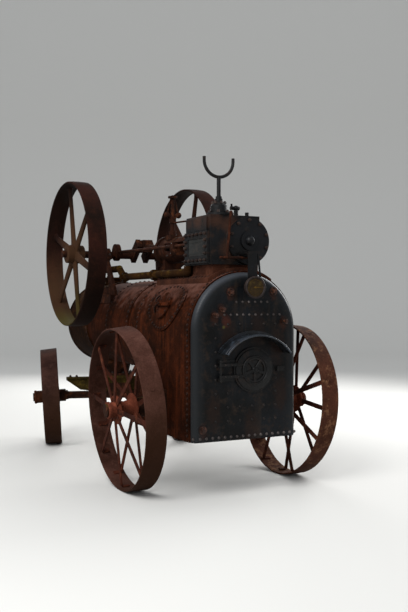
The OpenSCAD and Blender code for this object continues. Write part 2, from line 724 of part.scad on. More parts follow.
// Two cast side brackets on the barrel, each with its bearing.
module crank_brackets() {
    bracket_t = plate_t * 7 / 3;
    foot_z = boiler_z + barrel_r * 0.568;
    foot_rear = bracket_x;
    foot_front = crank_set - 6;
    neck = 2.4 * shaft_r;
    color([0.24, 0.14, 0.1]) rig() for (s = [-1, 1]) difference() {
        union() {
            translate([s * bracket_x - bracket_t / 2, crank_y, 0]) rotate([90, 0, 90])
                linear_extrude(bracket_t) difference() {
                    polygon([[-foot_rear, foot_z], [foot_front, foot_z], [foot_front, foot_z + neck],
                             [neck, crank_z - shaft_r], [neck, crank_z],
                             [-neck, crank_z], [-neck, crank_z - shaft_r],
                             [-foot_rear, foot_z + neck]]);
                    polygon([[-foot_rear / 2, foot_z + 1.5 * neck], [foot_rear / 2, foot_z + 1.5 * neck],
                             [neck * 0.6, crank_z - 3 * shaft_r], [-neck * 0.6, crank_z - 3 * shaft_r]]);
                }
            translate([s * bracket_x - 45, crank_y, crank_z]) along_x()
                cylinder(r = shaft_r * 1.9, h = 90, $fn = 48);
            translate([s * bracket_x - 40, crank_y - 1.2 * neck, crank_z - 50]) cube([80, 2.4 * neck, 44]);
            translate([s * bracket_x - 60, crank_y - foot_rear, foot_z - 70])
                cube([120, foot_rear + foot_front, 130]);
        }
        translate([s * bracket_x - 100, crank_y, crank_z]) along_x()
            cylinder(r = shaft_r, h = 200, $fn = 48);
        drum(band_r, 0, boiler_len);
    }
}

// Eccentric on the crankshaft, its rod, and the valve rod into the chest.
module valve_gear() {
    throw = shaft_r * 0.8;
    ecc_r = shaft_r * 2.4;
    joint_y = chest_y0 + chest_len + 400;
    color([0.28, 0.17, 0.12]) rig() translate([-valve_x, 0, 0]) {
        difference() {
            translate([-22, crank_y, crank_z + throw]) along_x() cylinder(r = ecc_r, h = 44, $fn = 64);
            translate([-30, crank_y, crank_z]) along_x() cylinder(r = shaft_r, h = 60, $fn = 48);
        }
        rod([0, crank_y - ecc_r + 18, crank_z + throw], [0, joint_y + 50, cyl_z], 16);
        translate([-22, joint_y, cyl_z - 26]) cube([44, 70, 52]);
        translate([0, chest_y0 + chest_len, cyl_z]) along_y() cylinder(r = 13, h = 404, $fn = 32);
        translate([0, chest_y0 + chest_len, cyl_z]) along_y() cylinder(r = shaft_r, h = 60, $fn = 32);
    }
}

// Spoked flywheel drawn about Z: flat rim, six tapered arms and a long boss.
module flywheel() {
    arm_n = 6;
    arm_root = fly_r * 0.121;
    arm_tip = arm_root * 2 / 3;
    arm_t = fly_w * 0.22;
    hub_r = fly_r * 0.129;
    arm_start = hub_r * 0.8;
    inner = fly_r - fly_rim;
    arm_len = inner + fly_rim / 3 - arm_start;
    difference() {
        cylinder(r = fly_r, h = fly_w, center = true, $fn = 128);
        cylinder(r = inner, h = fly_w + 2, center = true, $fn = 128);
    }
    difference() {
        union() {
            cylinder(r = hub_r, h = fly_w - 10, center = true, $fn = 64);
            for (i = [0:arm_n - 1]) rotate([0, 0, i * 360 / arm_n]) intersection() {
                translate([arm_start, 0, 0]) along_x()
                    cylinder(r1 = arm_root / 2, r2 = arm_tip / 2, h = arm_len, $fn = 48);
                translate([0, -arm_root, -arm_t / 2]) cube([fly_r, 2 * arm_root, arm_t]);
            }
        }
        cylinder(r = shaft_r, h = fly_w + 2, center = true, $fn = 48);
    }
}

module flywheel_left() {
    color([0.29, 0.18, 0.13]) rig() translate([-fly_x, crank_y, crank_z]) rotate([-12, 0, 0])
        rotate([0, -90, 0]) flywheel();
}

module flywheel_right() {
    color([0.29, 0.18, 0.13]) rig() translate([fly_x, crank_y, crank_z]) rotate([15, 0, 0])
        rotate([0, -90, 0]) flywheel();
}

// Exhaust from the chest to the smokebox's top: it climbs past the crank bracket.
module exhaust_pipe() {
    bend_r = pipe_r * 1.05;
    pipe_z = chest_z0 - 55;
    upper_z = pipe_z + 90;
    start = chest_y0 + chest_len - pipe_r;
    bend_y = crank_y - 430;
    turn_y = bend_y + 130;
    end_y = chimney_y - chimney_bore * 0.9;
    drop_z = boiler_z + barrel_r * 0.68;
    flange_y = firebox_len + 50;
    color([0.5, 0.38, 0.12]) rig() translate([-exhaust_x, 0, 0]) {
        translate([0, start, pipe_z]) along_y() cylinder(r = pipe_r, h = bend_y - start, $fn = 48);
        translate([0, start, pipe_z]) sphere(r = bend_r, $fn = 48);
        translate([0, start, pipe_z]) cylinder(r = pipe_r, h = chest_z0 - pipe_z, $fn = 48);
        for (y = [flange_y, bend_y - 34]) translate([0, y, pipe_z]) along_y()
            cylinder(r = pipe_r * 1.45, h = 30, $fn = 48);
        translate([0, bend_y, pipe_z]) sphere(r = bend_r, $fn = 48);
        rod([0, bend_y, pipe_z], [0, turn_y, upper_z], pipe_r);
        translate([0, turn_y, upper_z]) sphere(r = bend_r, $fn = 48);
        translate([0, turn_y, upper_z]) along_y() cylinder(r = pipe_r, h = end_y - turn_y, $fn = 48);
        translate([0, end_y, upper_z]) sphere(r = bend_r, $fn = 48);
        difference() {
            translate([0, end_y, drop_z]) cylinder(r = pipe_r, h = upper_z - drop_z, $fn = 48);
            translate([exhaust_x, 0, 0]) drum(smokebox_r, 0, boiler_len);
        }
    }
}

// Riveted patch with its inspection cover on the left shoulder of the wrapper.
module manhole() {
    cover_r = patch_w * 0.28;
    outline = [for (a = [0:15:345]) [patch_w / 2 * sin(a), patch_len / 2 * cos(a) * (1 + 0.2 * sin(a))]];
    color([0.3, 0.14, 0.1]) rig() difference() {
        union() {
            intersection() {
                drum(half_w + plate_t, patch_y - patch_len, patch_y + patch_len);
                translate([0, patch_y, boiler_z]) rotate([0, -patch_tilt, 0])
                    linear_extrude(2 * half_w) polygon(outline);
            }
            translate([0, patch_y, boiler_z])
                rotate([0, -patch_tilt, 0]) translate([0, 0, half_w - plate_t]) {
                cylinder(r = cover_r, h = 3 * plate_t, $fn = 48);
                cylinder(r = cover_r * 0.13, h = 6 * plate_t, $fn = 24);
                translate([-15, -cover_r * 1.25, 4 * plate_t]) cube([30, cover_r * 2.5, 14]);
            }
        }
        arch(half_w, firebox_z, 2 * patch_y + patch_len);
    }
}

// Curved hood over the fire hole.
module fire_hood() {
    half_angle = asin(0.81);
    hood_t = plate_t * 3 / 4;
    color([0.1, 0.12, 0.15]) rig() translate([fire_x, 0, fire_z + hood_rise - hood_r]) rotate([90, 0, 0])
        rotate([0, 0, 90 - half_angle]) rotate_extrude(angle = 2 * half_angle, $fn = 96) {
            translate([hood_r - hood_t, 0]) square([hood_t, hood_reach]);
            translate([hood_r - hood_t, 0]) square([hood_reach / 3, hood_t]);
        }
}

// Ring round the fire hole, with the hinge lugs on its left and the latch on its right.
module fire_door_ring() {
    ring_t = plate_t * 4 / 3;
    pin_r = hinge_reach / 2;
    color([0.12, 0.12, 0.13]) rig() {
        translate([fire_x, 0, fire_z]) rotate([90, 0, 0]) difference() {
            cylinder(r = fire_r * 1.24, h = ring_t, $fn = 64);
            translate([0, 0, -1]) cylinder(r = fire_r, h = ring_t + 2, $fn = 64);
        }
        difference() {
            for (z = [-0.573, 0.413]) {
                translate([door_hinge_x - pin_r, door_hinge_y, fire_z + z * fire_r])
                    cube([2 * pin_r, hinge_reach, 24]);
                translate([door_hinge_x - pin_r, -8, fire_z + z * fire_r]) cube([hinge_out * 0.54, 8, 24]);
                translate([door_hinge_x, door_hinge_y, fire_z + z * fire_r])
                    cylinder(r = pin_r, h = 24, $fn = 32);
            }
            translate([door_hinge_x, door_hinge_y, fire_z - fire_r])
                cylinder(r = 8, h = 2 * fire_r, $fn = 32);
        }
        translate([fire_x + fire_r * 1.43, -34, fire_z - 20]) cube([16, 34, 40]);
        translate([fire_x + fire_r * 1.27, -8, fire_z - 20]) cube([fire_r * 0.73, 8, 40]);
    }
}

// Plugs, cocks and the wash-out plug on the backhead.
module backhead_fittings() {
    plug_r = flange_r * 0.68;
    plugs = [[-0.296, -0.355], [0.527, -0.335]];
    cocks = [[-0.462, -0.635], [-0.592, -0.732], [0.728, -0.844]];
    mud_x = -half_w * 0.81;
    mud_z = firebox_z + wrapper_step * 1.9;
    color([0.34, 0.2, 0.12]) rig() {
        for (p = plugs) translate([p[0] * half_w, 0, crown_top + p[1] * half_w]) rotate([90, 0, 0]) {
            cylinder(r = plug_r, h = 12, $fn = 32);
            translate([-plug_r * 0.45, -plug_r * 0.45, 0]) cube([plug_r * 0.9, plug_r * 0.9, plug_r]);
        }
        for (c = cocks) translate([c[0] * half_w, 0, crown_top + c[1] * half_w]) {
            rotate([90, 0, 0]) cylinder(r = plug_r * 0.6, h = 10, $fn = 32);
            rotate([90, 0, 0]) cylinder(r = 12, h = 60, $fn = 24);
            translate([0, -46, -24]) cylinder(r = 10, h = 40, $fn = 24);
        }
        translate([mud_x, 0, mud_z]) rotate([90, 0, 0]) cylinder(r = plug_r * 0.95, h = 14, $fn = 48);
        translate([mud_x, 0, mud_z]) rotate([90, 0, 0]) cylinder(r = plug_r * 0.5, h = 34, $fn = 24);
    }
}

// Stub axle with its cast bracket on the firebox side, drawn for the right side.
module rear_axle() {
    reach = rear_out / cos(camber);
    end = rear_hub_out + 1;
    foot = rear_axle_r * 5;
    cone_h = reach + 10 - rear_hub_in - 1;
    rig() difference() {
        union() {
            translate([rear_x, rear_y, rear_z]) rotate([0, 90 + camber, 0]) {
                translate([0, 0, -reach]) cylinder(r = rear_axle_r, h = reach + end, $fn = 48);
                translate([0, 0, end]) cylinder(r = rear_axle_r * 1.65, h = 14, $fn = 48);
                translate([0, 0, -reach - 10])
                    cylinder(r1 = foot * 0.7, r2 = rear_axle_r * 2.2, h = cone_h, $fn = 48);
            }
            translate([half_w - 5, rear_y - foot, rear_z - foot * 0.765]) cube([31, 2 * foot, foot * 1.7]);
            for (y = [-96, 84]) translate([half_w, rear_y + y, rear_z - 110]) rotate([90, 0, 0])
                translate([0, 0, -12]) linear_extrude(12)
                    polygon([[0, 0], [130, 60], [130, 190], [0, 250]]);
        }
        translate([0, rear_y - 2 * foot, rear_z - 2 * foot]) cube([half_w, 4 * foot, 4 * foot]);
    }
}

module rear_axle_left() {
    color([0.3, 0.16, 0.1]) mirror([1, 0, 0]) rear_axle();
}

module rear_axle_right() {
    color([0.3, 0.16, 0.1]) rear_axle();
}

// Spoked iron wheel about Z, +Z outwards: coned tread, flat spokes in two rows, cast hub.
module road_wheel(r, w, hub_in, hub_out, hub_r, bore, spokes, first) {
    slope = tan(camber);
    tread_t = r / 49;
    spoke_w = hub_r * 0.625;
    spoke_t = tread_t * 0.86;
    flange_out = w * 0.42;
    rim_in = r - tread_t;
    difference() {
        cylinder(r1 = r + w / 2 * slope, r2 = r - w / 2 * slope, h = w, center = true, $fn = 128);
        cylinder(r1 = rim_in + w / 2 * slope, r2 = rim_in - w / 2 * slope, h = w + 0.01, center = true,
                 $fn = 128);
    }
    difference() {
        union() {
            translate([0, 0, -hub_in]) cylinder(r = hub_r, h = hub_in + hub_out, $fn = 64);
            for (z = [-flange_out, flange_out]) translate([0, 0, z - 7])
                cylinder(r = hub_r * 1.87, h = 14, $fn = 64);
            for (side = [0, 1]) for (i = [0:spokes - 1])
                rotate([0, 0, first + (i + side / 2) * 360 / spokes]) {
                    s = side == 0 ? 1 : -1;
                    rim_z = s * (w / 2 - 38);
                    flat_bar(hub_r + 4, s * (flange_out + 12), rim_in - rim_z * slope - 4, rim_z,
                             spoke_w, spoke_t);
                    translate([rim_in - rim_z * slope - 11, -24, rim_z - 30]) cube([16, 48, 60]);
                }
        }
        translate([0, 0, -hub_in - 1]) cylinder(r = bore, h = hub_in + hub_out + 2, $fn = 64);
    }
}

module rear_wheel() {
    rig() translate([rear_x, rear_y, rear_z]) rotate([0, 90 + camber, 0])
        road_wheel(rear_r, rear_w, rear_hub_in, rear_hub_out, rear_hub_r, rear_axle_r + run_gap, 8, 4);
}

module rear_wheel_left() {
    color([0.36, 0.2, 0.16]) mirror([1, 0, 0]) rear_wheel();
}

module rear_wheel_right() {
    color([0.36, 0.2, 0.16]) rear_wheel();
}

// Column under the smokebox with the upper half of the turntable.
module fore_pedestal() {
    neck_h = barrel_r / 2 + lap;
    saddle_w = barrel_r * 0.52;
    color([0.13, 0.09, 0.08]) rig() difference() {
        union() {
            translate([0, pivot_y, pedestal_z]) cylinder(r = turntable_r + 5, h = 22, $fn = 64);
            translate([0, pivot_y, pedestal_z + 20])
                cylinder(r1 = turntable_r * 0.7, r2 = turntable_r, h = neck_h - 50, $fn = 64);
            translate([-saddle_w, pivot_y - saddle_w * 0.87, pedestal_z + neck_h / 2])
                cube([2 * saddle_w, saddle_w * 1.74, 200]);
        }
        drum(smokebox_r, 0, boiler_len + smokebox_len);
        translate([0, pivot_y, pedestal_z - 1])
            cylinder(r = kingpin_r + run_gap, h = 4.3 * kingpin_r, $fn = 48);
    }
}

// Places a piece of the fore-carriage, which turns about the kingpin.
module steered() {
    rig() translate([0, pivot_y, 0]) rotate([0, 0, -steer]) children();
}

// Pad in the middle of the front axle, which the bolster stands on.
module axle_pad(z0, z1) {
    pad_x = turntable_r * 0.735;
    translate([-pad_x, -pad_x * 0.6, z0]) cube([2 * pad_x, pad_x * 1.2, z1 - z0]);
}

module front_axle() {
    beam_x = front_x - front_hub_in - 8;
    beam_h = front_axle_r * 2.53;
    color([0.2, 0.12, 0.09]) steered() {
        for (s = [0, 1]) mirror([s, 0, 0]) {
            translate([front_x, 0, front_z]) rotate([0, 90 + camber, 0]) {
                translate([0, 0, -front_hub_in - 60])
                    cylinder(r = front_axle_r, h = front_hub_in + 61 + front_hub_out, $fn = 48);
                translate([0, 0, front_hub_out + 1]) cylinder(r = front_axle_r * 1.53, h = 12, $fn = 48);
                translate([0, 0, -front_hub_in - 26]) cylinder(r = front_axle_r * 1.73, h = 25, $fn = 48);
            }
        }
        translate([-beam_x, -beam_h / 2, front_z - beam_h / 2 + 8]) cube([2 * beam_x, beam_h, beam_h]);
        axle_pad(front_z - 30, bolster_z - 50);
    }
}

// Bolster over the axle: flat top bar, fish-bellied web, turntable, kingpin and drawbar lugs.
module fore_bolster() {
    bar_t = plate_t * 4 / 3;
    bar_w = bolster_x / 7;
    axle_top = front_z + front_axle_r * 1.265 + 8;
    eye_y = turntable_r * 1.765;
    eye_w = drawbar_r * 3;
    color([0.45, 0.32, 0.12]) steered() {
        difference() {
            union() {
                translate([-bolster_x, -bar_w / 2, bolster_z]) cube([2 * bolster_x, bar_w, bar_t]);
                translate([0, 10, 0]) rotate([90, 0, 0]) linear_extrude(20)
                    polygon([[-bolster_x, bolster_z], [bolster_x, bolster_z],
                             [bolster_x, bolster_z - bar_t],
                             [bolster_x * 0.734, axle_top + 20], [bolster_x / 2, axle_top],
                             [-bolster_x / 2, axle_top], [-bolster_x * 0.734, axle_top + 20],
                             [-bolster_x, bolster_z - bar_t]]);
            }
            axle_pad(front_z - 30, bolster_z - 20);
        }
        axle_pad(bolster_z - 50, bolster_z + bar_t);
        translate([0, 0, bolster_z + bar_t - 2])
            cylinder(r = turntable_r, h = pedestal_z - bolster_z - bar_t + 1.6, $fn = 64);
        translate([0, 0, bolster_z + bar_t - 2]) cylinder(r = kingpin_r, h = 5 * kingpin_r, $fn = 48);
        for (s = [-1, 1]) translate([s * (eye_w - 2) - 12, eye_w, bolster_z - 50])
            cube([24, eye_y - 1.5 * eye_w + 20, 50 + bar_t]);
        difference() {
            translate([-eye_w * 1.8, eye_y - eye_w / 2, bolster_z - 60]) cube([eye_w * 3.6, eye_w, 76]);
            translate([0, eye_y, bolster_z - 70]) cylinder(r = drawbar_r, h = 100, $fn = 48);
        }
    }
}

module front_wheel() {
    translate([front_x, 0, front_z]) rotate([0, 90 + camber, 0])
        road_wheel(front_r, front_w, front_hub_in, front_hub_out, front_hub_r,
                   front_axle_r + run_gap, 7, 8);
}

module front_wheel_left() {
    color([0.34, 0.19, 0.14]) steered() mirror([1, 0, 0]) front_wheel();
}

module front_wheel_right() {
    color([0.34, 0.19, 0.14]) steered() front_wheel();
}

// Fire door with its air ring, hung on the left.
module fire_door() {
    face = -plate_t * 4 / 3 - 0.6;
    ring_r = fire_r * 0.8;
    pin_r = hinge_reach / 2;
    color([0.12, 0.12, 0.14]) rig() {
        translate([fire_x, face, fire_z]) rotate([90, 0, 0]) {
            cylinder(r = fire_r * 1.13, h = plate_t, $fn = 64);
            difference() {
                cylinder(r = ring_r, h = 32, $fn = 64);
                translate([0, 0, plate_t]) cylinder(r = ring_r - 16, h = 40, $fn = 64);
            }
            for (a = [45, 135]) rotate([0, 0, a]) translate([-ring_r + 14, -9, plate_t])
                cube([2 * ring_r - 28, 18, 12]);
            translate([0, 0, plate_t]) cylinder(r = 22, h = 24, $fn = 32);
        }
        difference() {
            for (z = [-0.4, 0.24]) {
                translate([door_hinge_x, door_hinge_y - 5, fire_z + z * fire_r])
                    cube([hinge_out * 0.71, 8, 24]);
                translate([door_hinge_x, door_hinge_y, fire_z + z * fire_r])
                    cylinder(r = pin_r, h = 24, $fn = 32);
            }
            translate([door_hinge_x, door_hinge_y, fire_z - fire_r])
                cylinder(r = 7, h = 2 * fire_r, $fn = 32);
        }
        translate([door_hinge_x, door_hinge_y, fire_z - fire_r * 0.64])
            cylinder(r = 7.6, h = fire_r * 1.27, $fn = 32);
    }
}

// Round smokebox door, hung on the left, with its centre handle.
module smokebox_door() {
    lug_r = plate_t * 5 / 4;
    color([0.2, 0.12, 0.09]) rig() {
        translate([0, boiler_len + plate_t + run_gap, boiler_z]) along_y() {
            cylinder(r = smokebox_door_r, h = 14, $fn = 96);
            translate([0, 0, 14])
                cylinder(r1 = smokebox_door_r * 0.895, r2 = smokebox_door_r * 0.685, h = 16, $fn = 96);
            cylinder(r = 26, h = 62, $fn = 32);
            translate([-14, -smokebox_door_r * 0.53, 60]) cube([28, smokebox_door_r * 0.6, 14]);
        }
        for (z = [-1, 1]) translate([front_hinge_x, front_hinge_y, boiler_z + z * smokebox_hinge_z]) {
            translate([0, 0, -17]) cylinder(r = lug_r, h = 34, $fn = 32);
            translate([0, 0, -plate_t * 4.2]) cylinder(r = plate_t * 0.742, h = plate_t * 8.4, $fn = 32);
            translate([0, -6, -17]) cube([smokebox_door_r * 1.16, 12, 34]);
            translate([smokebox_door_r * 0.316, -20, -17]) cube([60, 20, 34]);
        }
    }
}

firebox_wrapper();
backhead();
inner_firebox();
foundation_ring();
boiler_barrel();
smokebox();
smokebox_front();
tube_plate();
chimney_base();
cylinder_saddle();
cylinder_block();
cylinder_rear_cover();
chest_cover();
steam_dome();
chimney_crutch();
top_valve();
drain_pipes();
pressure_gauge();
gauge_bracket();
trunk_guide();
governor();
connecting_rod();
crankshaft();
crank_brackets();
valve_gear();
flywheel_left();
flywheel_right();
exhaust_pipe();
manhole();
fire_hood();
fire_door_ring();
backhead_fittings();
rear_axle_left();
rear_axle_right();
fore_pedestal();
fire_door();
smokebox_door();
rear_wheel_left();
rear_wheel_right();
front_axle();
fore_bolster();
front_wheel_left();
front_wheel_right();
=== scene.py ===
"""Looks of a derelict portable steam engine: rusted boiler, cylinder, motion and iron wheels.

Metres throughout. X points to the engine's right, Y to the smokebox, Z up from the ground.
"""

import json
import math

import bmesh
import bpy
import numpy as np
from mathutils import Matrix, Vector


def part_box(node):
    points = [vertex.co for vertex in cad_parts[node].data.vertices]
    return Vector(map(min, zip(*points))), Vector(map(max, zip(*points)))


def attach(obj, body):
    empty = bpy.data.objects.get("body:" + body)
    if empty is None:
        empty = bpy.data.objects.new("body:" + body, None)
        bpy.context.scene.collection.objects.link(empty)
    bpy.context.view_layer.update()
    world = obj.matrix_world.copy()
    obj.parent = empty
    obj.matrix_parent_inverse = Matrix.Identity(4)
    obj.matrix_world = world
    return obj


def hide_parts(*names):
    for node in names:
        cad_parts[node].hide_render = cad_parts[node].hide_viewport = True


# The engine's solids, and the box that they fill before anything is dressed.
# All places below are counted from the backhead's flat rear face, y = back_y.
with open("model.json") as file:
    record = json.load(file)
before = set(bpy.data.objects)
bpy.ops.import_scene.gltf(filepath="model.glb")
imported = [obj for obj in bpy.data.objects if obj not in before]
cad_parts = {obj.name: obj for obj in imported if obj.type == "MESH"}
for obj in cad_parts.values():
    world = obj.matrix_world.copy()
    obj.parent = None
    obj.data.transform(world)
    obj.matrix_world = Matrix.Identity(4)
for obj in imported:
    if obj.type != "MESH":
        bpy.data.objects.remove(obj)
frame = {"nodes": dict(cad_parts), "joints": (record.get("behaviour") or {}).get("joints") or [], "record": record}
nodes = frame["nodes"]
body_of = {node: body for body, held in frame["record"]["behaviour"]["bodies"].items() for node in held}
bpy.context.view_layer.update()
back_y = float(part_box("backhead")[0][1])

# Camera: a standing photographer behind and to the left, looking level along the boiler.
# The focal length is the one whose 612-pixel-high frame is 818 pixels deep.
camera_place = (-3.29953, -5.841123 + back_y, 1.600353)
camera_yaw = math.radians(-26.515)
camera_pitch = math.radians(90 - 0.357)
focal_px = 817.958
frame_high_px = 612
sensor_mm = 36.0

camera_data = bpy.data.cameras.new("camera")
camera_data.sensor_fit = "VERTICAL"
camera_data.sensor_height = sensor_mm
camera_data.lens = focal_px / frame_high_px * sensor_mm
camera = bpy.data.objects.new("camera", camera_data)
camera.location = camera_place
camera.rotation_euler = (camera_pitch, 0, camera_yaw)
bpy.context.scene.collection.objects.link(camera)
bpy.context.scene.camera = camera
bpy.context.scene.view_settings.view_transform = "Standard"

# Soft studio light: a pale dome all round, a broad lamp above the camera's left shoulder
# and weaker ones from the right and from the front, so that the shaded sides keep their colour.
dome_strength, lamp_size = 0.62, 4.5
key_power, fill_power, front_power = 620.0, 400.0, 300.0


def add(tree, kind, links=None, out=None, **settings):
    """Adds a shader node and gives back its first live output, or the one called out.

    settings are the node's own fields, and links give its sockets a value or another node's output.
    """
    made = tree.nodes.new("ShaderNode" + kind)
    for key, value in settings.items():
        setattr(made, key, value)
    for socket, value in (links or {}).items():
        if isinstance(value, bpy.types.NodeSocket):
            tree.links.new(value, made.inputs[socket])
        else:
            made.inputs[socket].default_value = value
    return made.outputs[out] if out else next(output for output in made.outputs if output.enabled)


def lamp(name, place, aim, power):
    """A square soft lamp that stands at a place and points at a spot."""
    data = bpy.data.lights.new(name, "AREA")
    data.energy = power
    data.size = lamp_size
    obj = bpy.data.objects.new(name, data)
    gaze = np.array(aim) - np.array(place)
    pitch = math.acos(-gaze[2] / np.linalg.norm(gaze))
    obj.location = place
    obj.rotation_euler = (pitch, 0, math.atan2(gaze[1], gaze[0]) - math.pi / 2)
    bpy.context.scene.collection.objects.link(obj)


world = bpy.data.worlds.new("studio_air")
bpy.context.scene.world = world
world.use_nodes = True
air = world.node_tree
glow = air.nodes["Background"]
glow.inputs["Color"].default_value = (0.93, 0.96, 1.0, 1.0)
glow.inputs["Strength"].default_value = dome_strength
backdrop = add(air, "Background", {"Color": (0.79, 0.80, 0.81, 1.0)})
seen = add(air, "LightPath", out="Is Camera Ray")
air_choice = add(air, "MixShader", {0: seen, 1: glow.outputs[0], 2: backdrop})
air.links.new(air_choice, air.nodes["World Output"].inputs["Surface"])
lamp("key_lamp", (-5.5, -4.5, 6.5), (0, -0.3, 1.2), key_power)
lamp("fill_lamp", (6.5, 1.0, 4.5), (0, 0.0, 1.0), fill_power)
lamp("front_lamp", (3.0, 7.5, 4.5), (0, 0.3, 1.0), front_power)

# Floor: one pale sheet that runs far back and turns up into a wall behind the engine.
# It is painted with matt emulsion, which keeps the engine's soft shadow and has no shine.
floor_half, floor_near = 30.8, -16.0
wall_start, wall_top, bend_radius = 16.0, 24.0, 9.0


def hex_colour(text):
    """An sRGB hex value such as 4a2a22 as linear red, green, blue and alpha."""
    channels = np.array([int(text[i : i + 2], 16) for i in (0, 2, 4)]) / 255.0
    linear = np.where(channels <= 0.04045, channels / 12.92, ((channels + 0.055) / 1.055) ** 2.4)
    return (*linear.tolist(), 1.0)


def skin(rows, cols, wrap_u=False, wrap_v=False):
    """Four-cornered faces over a grid of rows times cols points, closed along rows (u) or columns (v)."""
    index = np.arange(rows * cols).reshape(rows, cols)
    if wrap_u:
        index = np.vstack([index, index[:1]])
    if wrap_v:
        index = np.hstack([index, index[:, :1]])
    corners = [index[:-1, :-1], index[:-1, 1:], index[1:, 1:], index[1:, :-1]]
    return np.stack(corners, axis=-1).reshape(-1, 4).tolist()


def xyz(x, y, z):
    """Points from their coordinates, each of them an array or one number for all."""
    return np.stack(np.broadcast_arrays(x, y, z), axis=-1)


def new_piece(name, points, faces, smooth):
    """A mesh object at the origin from points and faces."""
    data = bpy.data.meshes.new(name)
    data.from_pydata(np.reshape(points, (-1, 3)).tolist(), [], faces)
    data.polygons.foreach_set("use_smooth", np.full(len(faces), smooth))
    data.update()
    obj = bpy.data.objects.new(name, data)
    bpy.context.scene.collection.objects.link(obj)
    return obj


bend = np.linspace(0.1, 1.57, 14)
wall_y = wall_start + bend_radius * np.sin(bend)
wall_z = bend_radius * (1 - np.cos(bend))
across, along = np.meshgrid([-floor_half, 0, floor_half], [floor_near, wall_start, *wall_y, wall_y[-1]])
height = np.array([0, 0, *wall_z, wall_top])[:, None]
yaw_c, yaw_s = math.cos(camera_yaw), math.sin(camera_yaw)
floor_points = xyz(across * yaw_c - along * yaw_s, across * yaw_s + along * yaw_c, height)
floor = new_piece("floor", floor_points, skin(*across.shape), True)
floor_paint = bpy.data.materials.new("matt_studio_floor")
floor_paint.use_nodes = True
floor_shader = floor_paint.node_tree.nodes["Principled BSDF"]
floor_shader.inputs["Base Color"].default_value = hex_colour("d4d3cf")
floor_shader.inputs["Roughness"].default_value = 0.9
floor.data.materials.append(floor_paint)

# Boiler shell: rolled and riveted iron plate, 12 mm thick, left in the open for decades.
# Rain has drawn the rust down the sides in streaks, and grey and yellow lichen sits on top.
rivet_r, rivet_h, rivet_foot = 0.013, 0.009, 0.003
rivet_pitch = 0.042
barrel_pitch = 0.048
ring_y, ring_end = 1.520, 2.150

# Real sizes of what the weather leaves on iron, from clouds of rust to the depth of its pits.
cloud_size, bleach_size, streak_wide, streak_long = 0.320, 0.090, 0.075, 1.100
spot_size, lichen_size, grain_size, pit_depth = 0.085, 0.050, 0.012, 0.003


def aged_iron(
    name, main, deep, bloom, growth=None, cover=0.0, streak=0.5, pit_mm=7.0, bump=0.35, rough=0.86, gleam=0.07,
    settle=0.10, underside_shade=0.5, fleck=1.0,
):
    """Rusted iron: main and deep rust in clouds, streaks of both, bloom where it is fresh, lichen on top.

    streak and fleck are how far the streaks and the bloom show; the underside share is painted shade on downward
    faces.
    growth and cover are the lichen's colour and share, and settle how strongly it seeks upward faces. Pits
    pit_mm across roughen it by bump, and gleam is the shine that is left.
    """
    mat = bpy.data.materials.new(name)
    mat.use_nodes = True
    tree = mat.node_tree
    shader = tree.nodes["Principled BSDF"]
    place = add(tree, "TexCoord", out="Object")
    facing = add(tree, "SeparateXYZ", {0: add(tree, "NewGeometry", out="Normal")}, out="Z")
    narrow = (1 / streak_wide, 1 / streak_wide, 1 / streak_long)
    tall = add(tree, "Mapping", {"Vector": place, "Scale": narrow})
    run, cloud, spots, grain = [
        add(tree, "TexNoise", {"Vector": vector, "Scale": 1 / size, "Detail": detail, "Roughness": ragged})
        for vector, size, detail, ragged in (
            (tall, 1.0, 6.0, 0.62), (place, cloud_size, 6.0, 0.62), (place, spot_size, 7.0, 0.72),
            (place, grain_size, 5.0, 0.7),
        )
    ]
    colour = hex_colour(deep)
    for pattern, low, high, share, coat in (
        (cloud, 0.36, 0.66, 1.0, main),
        (run, 0.42, 0.72, streak, deep),
        (run, 0.43, 0.28, streak, bloom),
        (spots, 0.52, 0.68, fleck, bloom),
    ):
        mask = add(tree, "MapRange", {"Value": pattern, "From Min": low, "From Max": high, "To Max": share})
        colour = add(tree, "Mix", {0: mask, 6: colour, 7: hex_colour(coat)}, data_type="RGBA")
    grit = add(tree, "MapRange", {"Value": grain, "From Min": 0.3, "From Max": 0.7})
    colour = add(tree, "Mix", {0: 0.34, 6: colour, 7: grit}, data_type="RGBA", blend_type="SOFT_LIGHT")
    # Painted shade: faces that look down are darkened towards the deep rust colour.
    painted_underside_shade = add(tree, "MapRange", {"Value": facing, "From Min": -0.1, "From Max": -0.8, "To Max": underside_shade})
    colour = add(tree, "Mix", {0: painted_underside_shade, 6: colour, 7: hex_colour(deep)}, data_type="RGBA")
    if growth:
        lichen = add(
            tree, "TexNoise", {"Vector": place, "Scale": 1 / lichen_size, "Detail": 8.0, "Roughness": 0.7}
        )
        lift = add(tree, "Math", {0: facing, 1: settle, 2: lichen}, operation="MULTIPLY_ADD")
        bare = 0.68 - 0.3 * cover
        patch = add(tree, "MapRange", {"Value": lift, "From Min": bare, "From Max": bare + 0.08})
        colour = add(tree, "Mix", {0: patch, 6: colour, 7: hex_colour(growth)}, data_type="RGBA")
    tree.links.new(colour, shader.inputs["Base Color"])
    shader.inputs["Roughness"].default_value = rough
    shader.inputs["Specular IOR Level"].default_value = gleam
    pits = add(tree, "TexVoronoi", {"Vector": place, "Scale": 1000 / pit_mm / 2}, feature="SMOOTH_F1")
    relief = add(tree, "Math", {0: grain, 1: pits}, operation="ADD")
    dents = add(tree, "Bump", {"Height": relief, "Strength": bump, "Distance": pit_depth})
    tree.links.new(dents, shader.inputs["Normal"])
    return mat


def lay_over(mat, share, colour):
    """Lays a colour over the one that a finish has so far, by share."""
    socket = mat.node_tree.nodes["Principled BSDF"].inputs["Base Color"]
    layers = {0: share, 6: socket.links[0].from_socket, 7: colour}
    mat.node_tree.links.new(add(mat.node_tree, "Mix", layers, data_type="RGBA"), socket)


